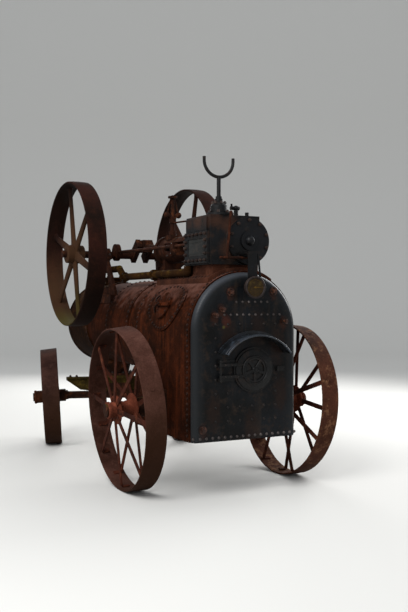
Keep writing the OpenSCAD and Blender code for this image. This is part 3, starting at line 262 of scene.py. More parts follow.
def bleached(mat, colour, share):
    """Lays a dry, washed-out rust over what faces the sky.

    The cover is share times how far the normal's Z plus 1.4 times noise is from 1.15 to 1.65.
    """
    tree = mat.node_tree
    facing = add(tree, "SeparateXYZ", {0: add(tree, "NewGeometry", out="Normal")}, out="Z")
    place = add(tree, "TexCoord", out="Object")
    noise = add(tree, "TexNoise", {"Vector": place, "Scale": 1 / bleach_size, "Detail": 6.0, "Roughness": 0.65})
    ragged = add(tree, "Math", {0: noise, 1: 1.4, 2: facing}, operation="MULTIPLY_ADD")
    sky = add(tree, "MapRange", {"Value": ragged, "From Min": 1.15, "From Max": 1.65, "To Max": share})
    lay_over(mat, sky, hex_colour(colour))


def dress(names, mat):
    """Gives CAD pieces their finish in place of the plain one."""
    for name in names:
        nodes[name].data.materials.clear()
        nodes[name].data.materials.append(mat)


def unit(vectors):
    """The same directions with a length of 1."""
    return vectors / np.linalg.norm(vectors, axis=-1, keepdims=True)


def all_round(count):
    """Even angles over one full turn."""
    return np.linspace(0, 2 * math.pi, count, endpoint=False)


def capped(points):
    """The skin of a row of rings of points, with both ends closed by one face: (points, faces)."""
    rows, cols = points.shape[:2]
    ends = [list(range(cols))[::-1], list(range((rows - 1) * cols, rows * cols))]
    return points.reshape(-1, 3), skin(rows, cols, wrap_v=True) + ends


def turned(profile, sides):
    """A lathe shape, ends closed: at angle a, (radius, height) goes to radius cos a, radius sin a, height."""
    a = all_round(sides)
    radius, height = np.array(profile, float).T[:, :, None]
    return capped(xyz(radius * np.cos(a), radius * np.sin(a), height))


def gather(*groups):
    """Several (places, normals) groups as one, where normals may be one direction for a whole group."""
    normals = [np.broadcast_to(normal, np.shape(places)) for places, normal in groups]
    return np.vstack([places for places, normal in groups]), np.vstack(normals)


def place_many(name, shape, faces, places, mat, body, smooth):
    """Copies one small closed shape to many (places, normals), as whole arrays.

    Its point x, y, z goes to place + x first + y second + z normal, with first and second across the normal.
    """
    centres, normals = gather(places)
    normals = unit(normals.astype(float))
    first = unit(np.cross(np.where(np.abs(normals[:, 2:]) > 0.9, [[1.0, 0, 0]], [[0, 0, 1.0]]), normals))
    points = centres[:, None] + shape @ np.stack([first, np.cross(normals, first), normals], axis=1)
    all_faces = [[v + i * len(shape) for v in face] for i in range(len(centres)) for face in faces]
    obj = new_piece(name, points, all_faces, smooth)
    obj.data.materials.append(mat)
    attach(obj, body)


def rivets(name, places, mat, radius=rivet_r, rise=rivet_h, body="engine"):
    """Snap-headed rivets: each head is a quarter ellipse from foot to crown, turned about the normal."""
    t = np.linspace(0, 0.46 * math.pi, 4)
    head = [(radius, -rivet_foot), *zip(radius * np.cos(t), rise * np.sin(t))]
    place_many(name, *turned(head, 10), places, mat, body, True)


def arch_line(radius, low_z, y):
    """Even points up one side, over the round top and down the other, with their outward normals.

    s runs along the line, and the top's angle is (s - leg) / radius, held between 0 and half a turn.
    """
    leg, top = boiler_z - low_z, math.pi * radius
    count = int((2 * leg + top) // rivet_pitch)
    s = (np.arange(count) + 0.5) * (2 * leg + top) / count
    a = np.clip((s - leg) / radius, 0, math.pi)
    drop = np.maximum(leg - s, 0) + np.maximum(s - leg - top, 0)
    n = xyz(-np.cos(a), 0, np.sin(a))
    return n * radius + xyz(0, y, boiler_z - drop), n


def ring_line(radius, y):
    """Even points round a barrel seam, with their outward normals."""
    a = all_round(int(2 * math.pi * radius // barrel_pitch))
    a = a + a[1] / 2 - math.pi
    n = xyz(np.sin(a), 0, np.cos(a))
    return n * radius + [0, y, boiler_z], n


boiler_z = float(np.mean(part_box("tube_plate"), axis=0)[2])
wrapper_low, wrapper_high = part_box("firebox_wrapper")
half_w, firebox_front, firebox_low = float(wrapper_high[0]), float(wrapper_high[1]), float(wrapper_low[2])
smokebox_low, smokebox_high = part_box("smokebox")
smokebox_r = float(smokebox_high[0])
barrel_r, band_r = smokebox_r - 0.010, smokebox_r - 0.002

# Rolled plate with its scale long gone: brown-black streaked rust, bleached to dusty pink on the crown.
plate_rust = aged_iron(
    "rolled_boiler_plate", "36170a", "190a04", "502410", growth="523f35", cover=0.02, streak=0.75, bump=0.3,
    gleam=0.03, fleck=0.5,
)
bleached(plate_rust, "5e4037", 0.85)
dress(["firebox_wrapper", "boiler_barrel", "manhole"], plate_rust)
# Sand-cast iron: an even, grainy red-brown.
saddle_rust = aged_iron("saddle_casting", "47271a", "27140d", "5c3828", growth="523f35", cover=0.04, fleck=0.5)
dress(["cylinder_saddle"], saddle_rust)
# Plate that was baked by the fire's gases: deeply pitted, near black, ochre where it is fresh.
smokebox_rust = aged_iron(
    "scorched_smokebox_plate", "2b170a", "160a04", "46290e", pit_mm=10, bump=0.5, gleam=0.03, fleck=0.6
)
bleached(smokebox_rust, "46311f", 0.6)
dress(["smokebox", "smokebox_front", "smokebox_door", "chimney_base"], smokebox_rust)
# Plate under soot, out of the rain: almost black and quite dull.
firebox_soot = aged_iron("sooted_firebox_plate", "1a100c", "0d0806", "2a1810", streak=0.3)
dress(["inner_firebox", "foundation_ring", "tube_plate"], firebox_soot)
# Hammered rivet iron: smoother than the plate, so that each head catches a small light.
rivet_rust = aged_iron(
    "rusted_rivet_heads", "2a140c", "150a06", "42261a", streak=0.1, pit_mm=4, rough=0.6, gleam=0.10
)
boiler_lines = [
    arch_line(half_w, firebox_low + 0.03, back_y + 0.085),
    arch_line(half_w, firebox_low + 0.03, firebox_front - 0.035),
    ring_line(barrel_r, firebox_front + 0.045),
    ring_line(band_r, back_y + ring_y + 0.030),
    ring_line(band_r, back_y + ring_end - 0.030),
    ring_line(smokebox_r, float(smokebox_low[1]) + 0.030),
    ring_line(smokebox_r, float(smokebox_high[1]) - 0.035),
]
rivets("boiler_rivets", gather(*boiler_lines), rivet_rust)

# Manhole patch: a shield-shaped plate riveted on the left shoulder, its cover held by a forked dog.
# On the shell a place is (u across, v along), which follows the crown's circle, turned over by tilt.
patch_w, patch_len, patch_y, patch_gap = 0.430, 0.690, 0.612, 0.023
patch_inset, patch_t = 0.026, 0.012
cover_ring_r, cover_lift = 0.100, 0.024
saddle_half = 0.300
dog_wide, dog_thick = 0.024, 0.012
patch_tilt = math.asin(saddle_half / half_w) + math.asin(patch_w / 2 / half_w) + patch_gap / half_w


def on_crown(x, y, radius):
    """Points on a round top, at z = the root of radius squared less x squared, with their normals."""
    n = xyz(x, 0, np.sqrt(radius**2 - x**2)) / radius
    return n * radius + xyz(0, y, boiler_z), n


def on_shoulder(u, v, lift):
    """The points at u across and v along the patch, lift above the shell, with the shell's normals there."""
    u, v = np.array(u, float), np.array(v, float)
    up = on_crown(u, v, half_w)[1]
    c, s = math.cos(patch_tilt), math.sin(patch_tilt)
    up = up @ np.array([[c, 0, s], [0, 1, 0], [-s, 0, c]])
    reach = half_w + np.broadcast_to(lift, u.shape)[:, None]
    return xyz(0, v + patch_y + back_y, boiler_z) + up * reach, up


def joined(name, parts, mats, grade=None, body="engine"):
    """One piece from several (points, faces) parts, with doubles merged and faces outwards.

    Edges that bend by more than grade degrees stay sharp; without a grade every face is flat.
    """
    start, points, faces = 0, [], []
    for part_points, part_faces in parts:
        points.append(part_points)
        faces += [[v + start for v in face] for face in part_faces]
        start += len(part_points)
    obj = new_piece(name, np.vstack(points), faces, grade is not None)
    work = bmesh.new()
    work.from_mesh(obj.data)
    bmesh.ops.remove_doubles(work, verts=work.verts, dist=1e-6)
    bmesh.ops.recalc_face_normals(work, faces=work.faces)
    work.to_mesh(obj.data)
    work.free()
    if grade is not None:
        obj.data.set_sharp_from_angle(angle=math.radians(grade))
    obj.data.update()
    for mat in mats:
        obj.data.materials.append(mat)
    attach(obj, body)
    return obj


def swept(path, wide, thick, across):
    """A flat bar along a path: across is its wide way, and its section is a rectangle with cut corners."""
    heading = unit(np.gradient(path, axis=0))
    out = unit(np.cross(heading, across))
    corner = min(wide, thick) * 0.28
    w, t = wide / 2, thick / 2
    section = np.array([
        (w, t - corner), (w - corner, t), (corner - w, t), (-w, t - corner),
        (-w, corner - t), (corner - w, -t), (w - corner, -t), (w, corner - t),
    ])[None, :, :, None]
    sideways, outwards = section[:, :, 0] * np.array(across, float), section[:, :, 1] * out[:, None]
    return capped(path[:, None] + sideways + outwards)


# The shield is an ellipse whose outer end is drawn wider by 0.2 of its sine.
patch_a, cover_a = all_round(34), all_round(12)
shield_u = (patch_w / 2 - patch_inset) * np.sin(patch_a)
shield_v = (patch_len / 2 - patch_inset) * np.cos(patch_a) * (1 + 0.2 * np.sin(patch_a))
shield_row = on_shoulder(shield_u, shield_v, patch_t)
cover_row = on_shoulder(cover_ring_r * np.sin(cover_a), cover_ring_r * np.cos(cover_a), cover_lift)
rivets("patch_rivets", gather(shield_row, cover_row), rivet_rust, 0.012, 0.010)

# Forged bar standing proud of the patch, with a faint shine: its near-black colour is painted shade.
dog_shaded_iron = aged_iron("manhole_dog", "21120c", "0f0806", "3a241a", streak=0.1, rough=0.7, gleam=0.06)
dog_legs = (
    ([0.0, 0.01, 0.02, 0.05, 0.09], [0.0, 0.05, 0.10, 0.15, 0.17], [0.06, 0.066, 0.062, 0.045, 0.026]),
    ([0.0, -0.01, -0.03, -0.07], [0.0, 0.045, 0.09, 0.12], [0.06, 0.064, 0.056, 0.026]),
)
dog_parts = [swept(on_shoulder(*leg)[0], dog_wide, dog_thick, (0, 1, 0.01)) for leg in dog_legs]
joined("manhole_dog", dog_parts, [dog_shaded_iron], 40)

# Saddle rivets: one row along each flank of the casting that the cylinder stands on, driven hot through
# casting and shell.
saddle_r, saddle_row_x, saddle_pitch = 0.525, 0.280, 0.058
saddle_y = back_y + np.arange(0.13, 1.12, saddle_pitch)
saddle_x = np.repeat([-saddle_row_x, saddle_row_x], len(saddle_y))
saddle_places = on_crown(saddle_x, np.tile(saddle_y, 2), saddle_r)
rivets("saddle_rivets", saddle_places, rivet_rust, 0.012)

# Smokebox front: a flat plate flanged into the barrel's end and held by a ring of rivets,
# as burnt and pitted as the plate.
front_face, front_row_r = back_y + 3.380 + 0.012, 0.435
to_front, to_rear, upwards = (0, 1, 0), (0, -1, 0), (0, 0, 1)


def circle_places(centre, radius, count, normal, start_deg=0.0):
    """Even places on a bolt circle round a centre, all facing one way."""
    first = unit(np.cross((1, 0, 0) if normal == upwards else upwards, normal))
    a = math.radians(start_deg) + all_round(count)[:, None]
    return np.array(centre) + radius * (np.cos(a) * first + np.sin(a) * np.cross(normal, first)), normal


rivets("front_rivets", circle_places((0, front_face, boiler_z), front_row_r, 48, to_front), smokebox_rust)

# Backhead: flanged rear plate of the firebox in what is left of its blue-black paint,
# with snap-headed stays, a rivet row along the bottom and washed-out rust round each fitting.
stay_pitch, fray_size = 0.112, 0.030
fire_x, fire_z = 0.064, 1.035
hole_clear, hood_low, hood_high, hood_half = 0.225, 1.13, 1.36, 0.33


def stain(mat, spots, reach, colour, drip=1.6, fray=0.03, strength=0.85):
    """Lays a second rust over a finish round the given spots.

    It fades out over reach, hangs down by drip times that, and noise frays its edge by fray.
    """
    tree = mat.node_tree
    raw = add(tree, "TexCoord", out="Object")
    place = add(tree, "Mapping", {"Vector": raw, "Scale": (1.0, 1.0, 1 / drip)})
    noise = add(tree, "TexNoise", {"Vector": raw, "Scale": 1 / fray_size, "Detail": 6.0, "Roughness": 0.68})
    nearest = None
    for x, y, z in spots:
        centre = (x, y, (z - reach * (drip - 1) * 0.6) / drip)
        gap = add(tree, "VectorMath", {0: place, 1: centre}, operation="DISTANCE")
        nearest = add(tree, "Math", {0: nearest, 1: gap}, operation="MINIMUM") if nearest else gap
    frayed = add(tree, "Math", {0: noise, 1: 2 * fray, 2: nearest}, operation="MULTIPLY_ADD")
    edge = {"From Min": reach + fray, "From Max": reach * 0.4 + fray, "To Max": strength}
    lay_over(mat, add(tree, "MapRange", {"Value": frayed, **edge}), hex_colour(colour))


# Oil paint on plate, blistered by heat: blue-black with some shine, rust where it has lifted.
old_paint = aged_iron(
    "blistered_black_paint", "13161a", "090909", "281f19", growth="1e242b", cover=0.12, streak=0.6, pit_mm=14,
    bump=0.22, rough=0.34, gleam=0.12,
)
# The same paint on castings under soot: flatter and blacker.
plain_paint = aged_iron(
    "sooted_black_paint", "101114", "0a0a0a", "1d1714", growth="22262b", cover=0.15, streak=0.4, pit_mm=12,
    bump=0.25, rough=0.42, gleam=0.15,
)
# The same paint on the hood's thin sheet, washed by rain: slate with a soft shine.
hood_paint = aged_iron(
    "slate_hood_paint", "16191d", "0c0d0e", "20242a", growth="30373f", cover=0.3, streak=0.4, pit_mm=12,
    bump=0.18, rough=0.33, gleam=0.3,
)
# Hammered stay ends: dark, rubbed smooth. The upper rows are worn to bare grey metal.
stay_rust = aged_iron("rusted_stay_heads", "1f1a18", "110e0d", "332a26", streak=0.2, rough=0.5, gleam=0.18)
worn_rust = aged_iron("worn_rivet_heads", "4a4340", "241d1b", "665d59", streak=0.1, rough=0.5, gleam=0.3)
dress(["backhead"], old_paint)
dress(["fire_hood"], hood_paint)
dress(["cylinder_rear_cover", "gauge_bracket"], plain_paint)

plug_places = [(-0.146, 1.673), (0.260, 1.683)]
fittings = plug_places + [(-0.228, 1.535), (-0.292, 1.487), (0.359, 1.432), (-0.399, 0.567)]
blisters = [(-0.17, 1.40), (0.11, 1.44), (0.30, 1.30), (-0.30, 0.78), (0.05, 0.62), (0.33, 0.9)]
stain(old_paint, [(x, back_y, z) for x, z in fittings], 0.046, "2e170d", fray=0.04, strength=0.75)
stain(old_paint, [(x, back_y, z) for x, z in blisters], 0.085, "20130d", drip=2.4, fray=0.07, strength=0.6)

# The flange is rolled over to the shell. Its curve gets a painted sheen of slate, brightest where it faces up:
# its share grows with the distance from the boiler's middle line, which counts no height below it.
flange_in, flange_out = 0.37, 0.455
paint = old_paint.node_tree
span = add(paint, "TexCoord", out="Object")
for other, operation in (((0, 0, boiler_z), "SUBTRACT"), ((1, 0, 1), "MULTIPLY"), ((-1, 0, 0), "MAXIMUM")):
    span = add(paint, "VectorMath", {0: span, 1: other}, operation=operation)
span = add(paint, "VectorMath", {0: span}, operation="LENGTH")
flange = add(paint, "MapRange", {"Value": span, "From Min": flange_in, "From Max": flange_out, "To Max": 0.85})
facing = add(paint, "SeparateXYZ", {0: add(paint, "NewGeometry", out="Normal")}, out="Z")
sky = add(paint, "MapRange", {"Value": facing, "From Min": 0.0, "From Max": 0.6})
# Painted sheen: pale slate where the flange faces up, darker slate on its sides.
slate_sheen = {0: sky, 6: hex_colour("1e2022"), 7: hex_colour("3b3e43")}
lay_over(old_paint, flange, add(paint, "Mix", slate_sheen, data_type="RGBA"))
stain(old_paint, [(-0.185, back_y, 1.445)], 0.052, "3c1d15", drip=1.2, fray=0.02, strength=0.8)
stain(old_paint, [(-0.207, back_y, 1.389)], 0.016, "4a4420", drip=1.0, fray=0.01, strength=0.8)

# Stays fill an even grid, apart from where the fire hole and the hood are.
stay_x, stay_z = np.meshgrid(np.arange(-2.5, 3.5) * stay_pitch, firebox_low + 0.16 + np.arange(8) * stay_pitch)
under_hood = (stay_z > hood_low) & (stay_z < hood_high) & (np.abs(stay_x - fire_x) < hood_half)
keep = (np.hypot(stay_x - fire_x, stay_z - fire_z) > hole_clear) & ~under_hood
rivets("backhead_stays", (xyz(stay_x[keep], back_y, stay_z[keep]), to_rear), stay_rust, 0.012, 0.008)
middle_row = xyz(np.linspace(-0.20, 0.32, 10), back_y, 1.487)
top_row = xyz(np.linspace(-0.09, 0.20, 6), back_y, 1.592)
rivets("backhead_upper_rows", (np.vstack([middle_row, top_row]), to_rear), worn_rust, 0.011, 0.008)
low_row = xyz(np.linspace(-0.475, 0.475, 18), back_y, firebox_low + 0.030)
low_row[[0, -1], 1] += 0.012
rivets("backhead_low_row", (low_row, to_rear), worn_rust)

# Fire hole: a cast ring and a round cast door with its air slots, hung on two forged straps.
# An air wheel with five openings sits on the door's face, inside a raised rim.
door_r, rim_out, rim_in, ring_bolt_r = 0.1695, 0.120, 0.106, 0.178
door_mid = (fire_x, back_y - 0.0166, fire_z)
hinge = np.array([-0.248, back_y - 0.030, fire_z])
strap_end, strap_rear, strap_front, strap_tall = -0.026, back_y - 0.035, back_y - 0.027, 0.024
hood_r, hood_rise, hood_half_turn = 0.370, 0.290, 0.943
hood_back = float(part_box("fire_hood")[0][1])

# Cast iron burnt black by the fire, with a dull shine and a little rust.
burnt_iron = aged_iron("burnt_black_casting", "141414", "0a0a0a", "251b16", streak=0.2, rough=0.46, gleam=0.18)
dress(["fire_door_ring"], burnt_iron)
# Turned iron plugs: bright brown rust with some shine.
fitting_rust = aged_iron("rusted_fittings", "42251a", "170c08", "6f4633", streak=0.1, rough=0.5, gleam=0.25)
dress(["backhead_fittings"], fitting_rust)
# Drawn tube: an even, dull brown.
pipe_dull = aged_iron("dull_small_pipe", "33190f", "1a0e09", "4a2617", streak=0.2)
dress(["drain_pipes"], pipe_dull)


def hoop(section, sides):
    """A closed section of (radius, height) rows carried once round Z, as turned does."""
    a = all_round(sides)[:, None]
    radius, height = np.array(section, float).T
    points = xyz(radius * np.cos(a), radius * np.sin(a), height)
    return points.reshape(-1, 3), skin(sides, len(section), wrap_u=True, wrap_v=True)


def flat_strip(outline, low, high):
    """A flat outline of (x, y) corners given a thickness, from z = low to high."""
    x, y = np.array(outline, float).T
    return capped(xyz(x, y, np.array([[low], [high]])))


def slab(low, high):
    """A flat plate between two corners."""
    (x, y, z), (x2, y2, z2) = low, high
    return flat_strip([(x, y), (x2, y), (x2, y2), (x, y2)], z, z2)


def turned_about(points, angle):
    """The points turned about Z by an angle in radians."""
    c, s = math.cos(angle), math.sin(angle)
    return points @ np.array([[c, s, 0], [-s, c, 0], [0, 0, 1]])


def facing_back(part, middle):
    """A part made with Z outwards, set round a middle on the backhead with Z pointing to the rear."""
    x, y, z = part[0].T
    return xyz(middle[0] + x, middle[1] - z, middle[2] + y), part[1]


door_disc = turned(
    [(door_r - 0.003, 0.0), (door_r, 0.003), (door_r, 0.009), (door_r - 0.004, 0.012), (0.020, 0.012)], 72
)
door_rim = hoop(
    [(rim_in, 0.010), (rim_out, 0.010), (rim_out, 0.027), (rim_out - 0.005, 0.032), (rim_in + 0.004, 0.032),
     (rim_in, 0.028)], 72,
)
air_ring = hoop(
    [(0.088, 0.010), (0.108, 0.010), (0.108, 0.022), (0.104, 0.025), (0.092, 0.025), (0.088, 0.022)], 60
)
air_hub = turned(
    [(0.027, 0.010), (0.027, 0.026), (0.022, 0.031), (0.012, 0.031), (0.010, 0.036), (0.006, 0.036)], 32
)
vane, vane_faces = swept(np.linspace([0.018, 0, 0.019], [0.096, 0, 0.019], 8), 0.026, 0.011, (0, 1, 0))
vanes = [(turned_about(vane, math.radians(54 + 72 * i)), vane_faces) for i in range(5)]
door_parts = [facing_back(part, door_mid) for part in (door_disc, door_rim, air_ring, air_hub, *vanes)]
eye, eye_faces = turned(
    [(0.0085, 0.0), (0.014, 0.0), (0.015, 0.001), (0.015, 0.023), (0.014, 0.024), (0.0085, 0.024)], 28
)
for low_z in (-0.060, 0.036):
    strap_z = fire_z + low_z
    strap = slab((hinge[0], strap_rear, strap_z), (strap_end, strap_front, strap_z + strap_tall))
    door_parts += [strap, (eye + hinge + [0, 0, low_z], eye_faces)]
pin, pin_faces = turned([(0.006, -0.0955), (0.0076, -0.094), (0.0076, 0.094), (0.006, 0.0955)], 20)
door_parts.append((pin + hinge, pin_faces))
fire_door_casting = joined("fire_door_casting", door_parts, [burnt_iron], 38, "fire_door")
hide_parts("fire_door")
strap_heads = [(x, strap_rear, fire_z + z) for x in (-0.205, -0.150, -0.088, -0.048) for z in (-0.048, 0.048)]
rivets("door_bolts", (strap_heads, to_rear), stay_rust, 0.010, 0.007, "fire_door")
ring_places = circle_places((fire_x, back_y - 0.016, fire_z), ring_bolt_r, 8, to_rear, 22.5)
rivets("ring_bolts", ring_places, stay_rust, 0.007, 0.005)


def hood_bead(radius, y, thick):
    """Rolled bead along the hood: rings of (cos, sin) times thick along an arc about the hood's centre."""
    turn = np.linspace(-hood_half_turn, hood_half_turn, 60)
    middle_z = fire_z + hood_rise - hood_r
    path = xyz(fire_x + radius * np.sin(turn), y, middle_z + radius * np.cos(turn))
    out = unit(np.cross(unit(np.gradient(path, axis=0)), to_front))[:, None]
    a = all_round(12)[None, :, None]
    return capped(path[:, None] + thick * (np.cos(a) * np.array(to_front) + np.sin(a) * out))


# Thin sheet rolled over a wire: the pale slate along the edge is a painted highlight.
bead_highlight_paint = aged_iron(
    "hood_bead_painted_highlight", "343a43", "1d2126", "2a2522", streak=0.3, bump=0.15, rough=0.36, gleam=0.3
)
outer_bead = hood_bead(hood_r - 0.005, hood_back + 0.001, 0.0075)
inner_bead = hood_bead(hood_r - 0.001, hood_back + 0.034, 0.0045)
joined("hood_edge", [outer_bead, inner_bead], [bead_highlight_paint], 180)

# Cylinder block and steam chest: grey iron castings, dark with old oil, rust in the corners.
# The boxy castings get the rounded edges that a moulder gives them.
edge_round = 0.004


def softened(name, mat, edge=edge_round):
    """A copy of a boxy casting with its doubles merged, flats joined and edges rounded, in its place."""
    work = bmesh.new()
    work.from_mesh(nodes[name].data)
    bmesh.ops.remove_doubles(work, verts=work.verts, dist=2e-5)
    bmesh.ops.dissolve_limit(work, angle_limit=math.radians(1.5), verts=work.verts, edges=work.edges)
    obj = new_piece(name + "_cast", [], [], True)
    work.to_mesh(obj.data)
    work.free()
    obj.data.shade_smooth()
    obj.data.set_sharp_from_angle(angle=math.radians(32))
    round_edges = obj.modifiers.new("round_edges", "BEVEL")
    round_edges.width = edge
    round_edges.segments = 2
    round_edges.angle_limit = math.radians(40)
    round_edges.use_clamp_overlap = True
    round_edges.miter_outer = "MITER_ARC"
    obj.data.materials.append(mat)
    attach(obj, body_of[name])
    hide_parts(name)


# Grey iron soaked in cylinder oil: near black with a soft shine.
oiled_casting = aged_iron(
    "oil_dark_casting", "151516", "0b0b0b", "291c16", growth="2b2623", cover=0.08, streak=0.6, rough=0.48,
    gleam=0.14,
)
# The same iron where rain has reached it: brown patches round the studs and below the flanges.
block_iron = aged_iron(
    "cylinder_block_casting", "141517", "0a0a0a", "261b15", growth="2e2520", cover=0.12, streak=0.7, rough=0.5,
    gleam=0.11,
)
wet_places = [(-0.22, 0.15, 2.25), (-0.22, 0.30, 2.25), (-0.22, 0.46, 2.25), (-0.27, 0.3, 2.26),
              (-0.09, 0.11, 2.22), (-0.10, 0.11, 2.02)]
wet_spots = [(x, back_y + y, z) for x, y, z in wet_places]
stain(block_iron, wet_spots, 0.115, "382319", drip=0.8, fray=0.06, strength=0.75)
softened("cylinder_block", block_iron)
softened("chest_cover", oiled_casting, 0.003)
dress(["steam_dome", "top_valve", "chimney_crutch"], oiled_casting)

# Nuts and studs on the plugs, covers and dome: hexagon nuts on stud ends, rusted fast.
# Wrought iron, turned by spanners and rusted since, is brown with worn, brighter corners.
cyl_x, cyl_z = 0.070, 2.100
cover_face, cover_bolt_r, plug_bolt_r = back_y + 0.074, 0.172, 0.0265
chest_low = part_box("chest_cover")[0]
chest_face, stud_pitch = float(chest_low[0]) + 0.012, 0.074
dome_x, dome_y = np.mean(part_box("steam_dome"), axis=0)[:2]
dome_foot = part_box("steam_dome")[0][2]
foot_lift, foot_bolt_r, top_lift, top_bolt_r = 0.0215, 0.086, 0.098, 0.050
nut_rust = aged_iron("seized_nuts", "2a1a13", "140d0a", "433026", streak=0.0, pit_mm=5, rough=0.55, gleam=0.25)


def nuts(name, places, across=0.026, tall=0.016, stud_r=0.008, stud_out=0.007, body="engine"):
    """Hexagon nuts with chamfered corners and the ends of their studs."""
    r = across / 2 / math.cos(math.pi / 6)
    top = tall + stud_out
    nut, nut_faces = turned([(r, -0.001), (r, tall * 0.85), (r * 0.9, tall)], 6)
    stud, stud_faces = turned([(stud_r, tall * 0.5), (stud_r, top - stud_out * 0.2), (stud_r * 0.8, top)], 10)
    faces = nut_faces + [[v + len(nut) for v in face] for face in stud_faces]
    place_many(name, np.vstack([nut, stud]), faces, places, nut_rust, body, False)


plug_circles = [circle_places((x, back_y - 0.012, z), plug_bolt_r, 4, to_rear) for x, z in plug_places]
nuts("plug_nuts", gather(*plug_circles), 0.012, 0.008, 0.003, 0.004)
stud_y = chest_low[1] + 0.028 + np.arange(6) * stud_pitch
chest_yz = [(y, z) for y in stud_y for z in (0.026, 0.242)]
chest_yz += [(stud_y[k], z) for k in (0, 5) for z in (0.080, 0.134, 0.188)]
cylinder_places = gather(
    circle_places((cyl_x, cover_face, cyl_z), cover_bolt_r, 10, to_rear, 18),
    ([(chest_face, y, chest_low[2] + z) for y, z in chest_yz], (-1, 0, 0)),
    circle_places((dome_x, dome_y, dome_foot + foot_lift), foot_bolt_r, 6, upwards, 30),
    circle_places((dome_x, dome_y, dome_foot + top_lift), top_bolt_r, 6, upwards),
)
nuts("cylinder_nuts", cylinder_places)

# Chest panel: the raised field on the side of the steam chest, cast with it, with a thin strip
# along its upper and lower edge. It has been scraped to bare grey iron.
panel_iron = aged_iron("scraped_chest_panel", "272827", "171716", "332d28", rough=0.6, gleam=0.15)
panel_y, panel_end, panel_root = back_y + 0.190, back_y + 0.476, -0.288
panel_parts = [
    slab((x, panel_y, low_z), (panel_root, panel_end, high_z))
    for x, low_z, high_z in ((-0.2945, 1.976, 2.115), (-0.2965, 1.992, 1.998), (-0.2965, 2.090, 2.096))
]
joined("chest_panel", panel_parts, [panel_iron])

# Pressure gauge: a turned iron case with a rolled bezel, a dial gone brown under dull glass,
# and its pointer stuck near level. The dial bears plain strokes and no words.
gauge_r = 0.085
dial_mid = (0.019, back_y - 0.1203, 1.709)
# Turned iron, browned: a soft shine along the bezel.
gauge_iron = aged_iron("browned_gauge_case", "29201e", "15100f", "3b302b", streak=0.1, rough=0.5, gleam=0.16)
# Enamel stained by rust under dirty glass, and the paint of its strokes, faded to straw.
dial_brown = aged_iron(
    "browned_dial", "382a12", "20160a", "483a1a", streak=0.2, pit_mm=5, bump=0.08, rough=0.3, gleam=0.12
)
dial_mark = aged_iron("faded_dial_mark", "5c451c", "3c2b12", "6b5424", streak=0.0, bump=0.1)
dress(["pressure_gauge"], gauge_iron)

bezel_section = [
    (gauge_r - 0.010, 0.0), (gauge_r - 0.008, 0.006), (gauge_r - 0.003, 0.0095), (gauge_r + 0.003, 0.0095),
    (gauge_r + 0.0065, 0.006), (gauge_r + 0.0065, -0.006), (gauge_r - 0.010, -0.004),
]
bezel = hoop(bezel_section, 72)
joined("gauge_ring", [facing_back(bezel, dial_mid)], [gauge_iron], 50)
dial = turned([(gauge_r - 0.008, -0.001), (gauge_r - 0.009, 0.0005), (0.030, 0.0012), (0.002, 0.0016)], 64)
joined("gauge_dial", [facing_back(dial, dial_mid)], [dial_brown], 50)
marks = []
for i, a in enumerate(np.radians(np.linspace(-130, 130, 27))):
    inner = 0.060 if i % 5 else 0.055
    stroke = [(-0.0011, inner, 0), (0.0011, inner, 0), (0.0011, 0.069, 0), (-0.0011, 0.069, 0)]
    marks.append(flat_strip(turned_about(np.array(stroke), -a)[:, :2], 0.0004, 0.0020))
hand = [
    (-0.018, -0.0045), (0.030, -0.0028), (0.062, -0.0008), (0.062, 0.0008), (0.030, 0.0028), (-0.018, 0.0045)
]
marks += [flat_strip(hand, 0.0022, 0.0042), turned([(0.009, 0.001), (0.009, 0.005), (0.006, 0.0065)], 24)]
joined("gauge_marks", [facing_back(mark, dial_mid) for mark in marks], [dial_mark])

# Motion work: guide, crankshaft, rods and brackets, all seized under one coat of rust.
# Forged and machined iron: even dark rust, a little moss on what faces up.
motion_rust = aged_iron(
    "seized_motion_rust", "331a10", "180c07", "4f2b18", growth="37301a", cover=0.05, streak=0.3
)
dress(["trunk_guide", "governor", "valve_gear", "crankshaft"], motion_rust)
softened("crank_brackets", motion_rust)
softened("connecting_rod", motion_rust, 0.003)
crank_y, crank_z, bracket_x = back_y + 2.486, 2.092, 0.330
guide_face, guide_bolt_r = back_y + 0.674, 0.158
cap_bolts = [(side * bracket_x + x, crank_y + y, crank_z - 0.006)
             for side in (-1, 1) for x in (-0.022, 0.022) for y in (-0.088, 0.088)]
guide_bolts = circle_places((cyl_x, guide_face, cyl_z), guide_bolt_r, 10, to_front, 18)
nuts("motion_nuts", gather((cap_bolts, upwards), guide_bolts))

# Exhaust pipe: iron tube in bolted lengths from the cylinder to the smokebox.
# It has grown a thick coat of ochre lichen along its top.
pipe_rust = aged_iron(
    "lichened_pipe", "341f0b", "1a0e06", "46300f", growth="463810", cover=0.14, streak=0.1, settle=0.14,
    gleam=0.03,
)
dress(["exhaust_pipe"], pipe_rust)
pipe_x, pipe_z, pipe_bolt_r = -0.279, 1.845, 0.0425
flanges = [circle_places((pipe_x, back_y + y, pipe_z), pipe_bolt_r, 4, to_rear, 45) for y in (1.250, 2.022)]
nuts("pipe_nuts", gather(*flanges), 0.015, 0.010, 0.004, 0.005)

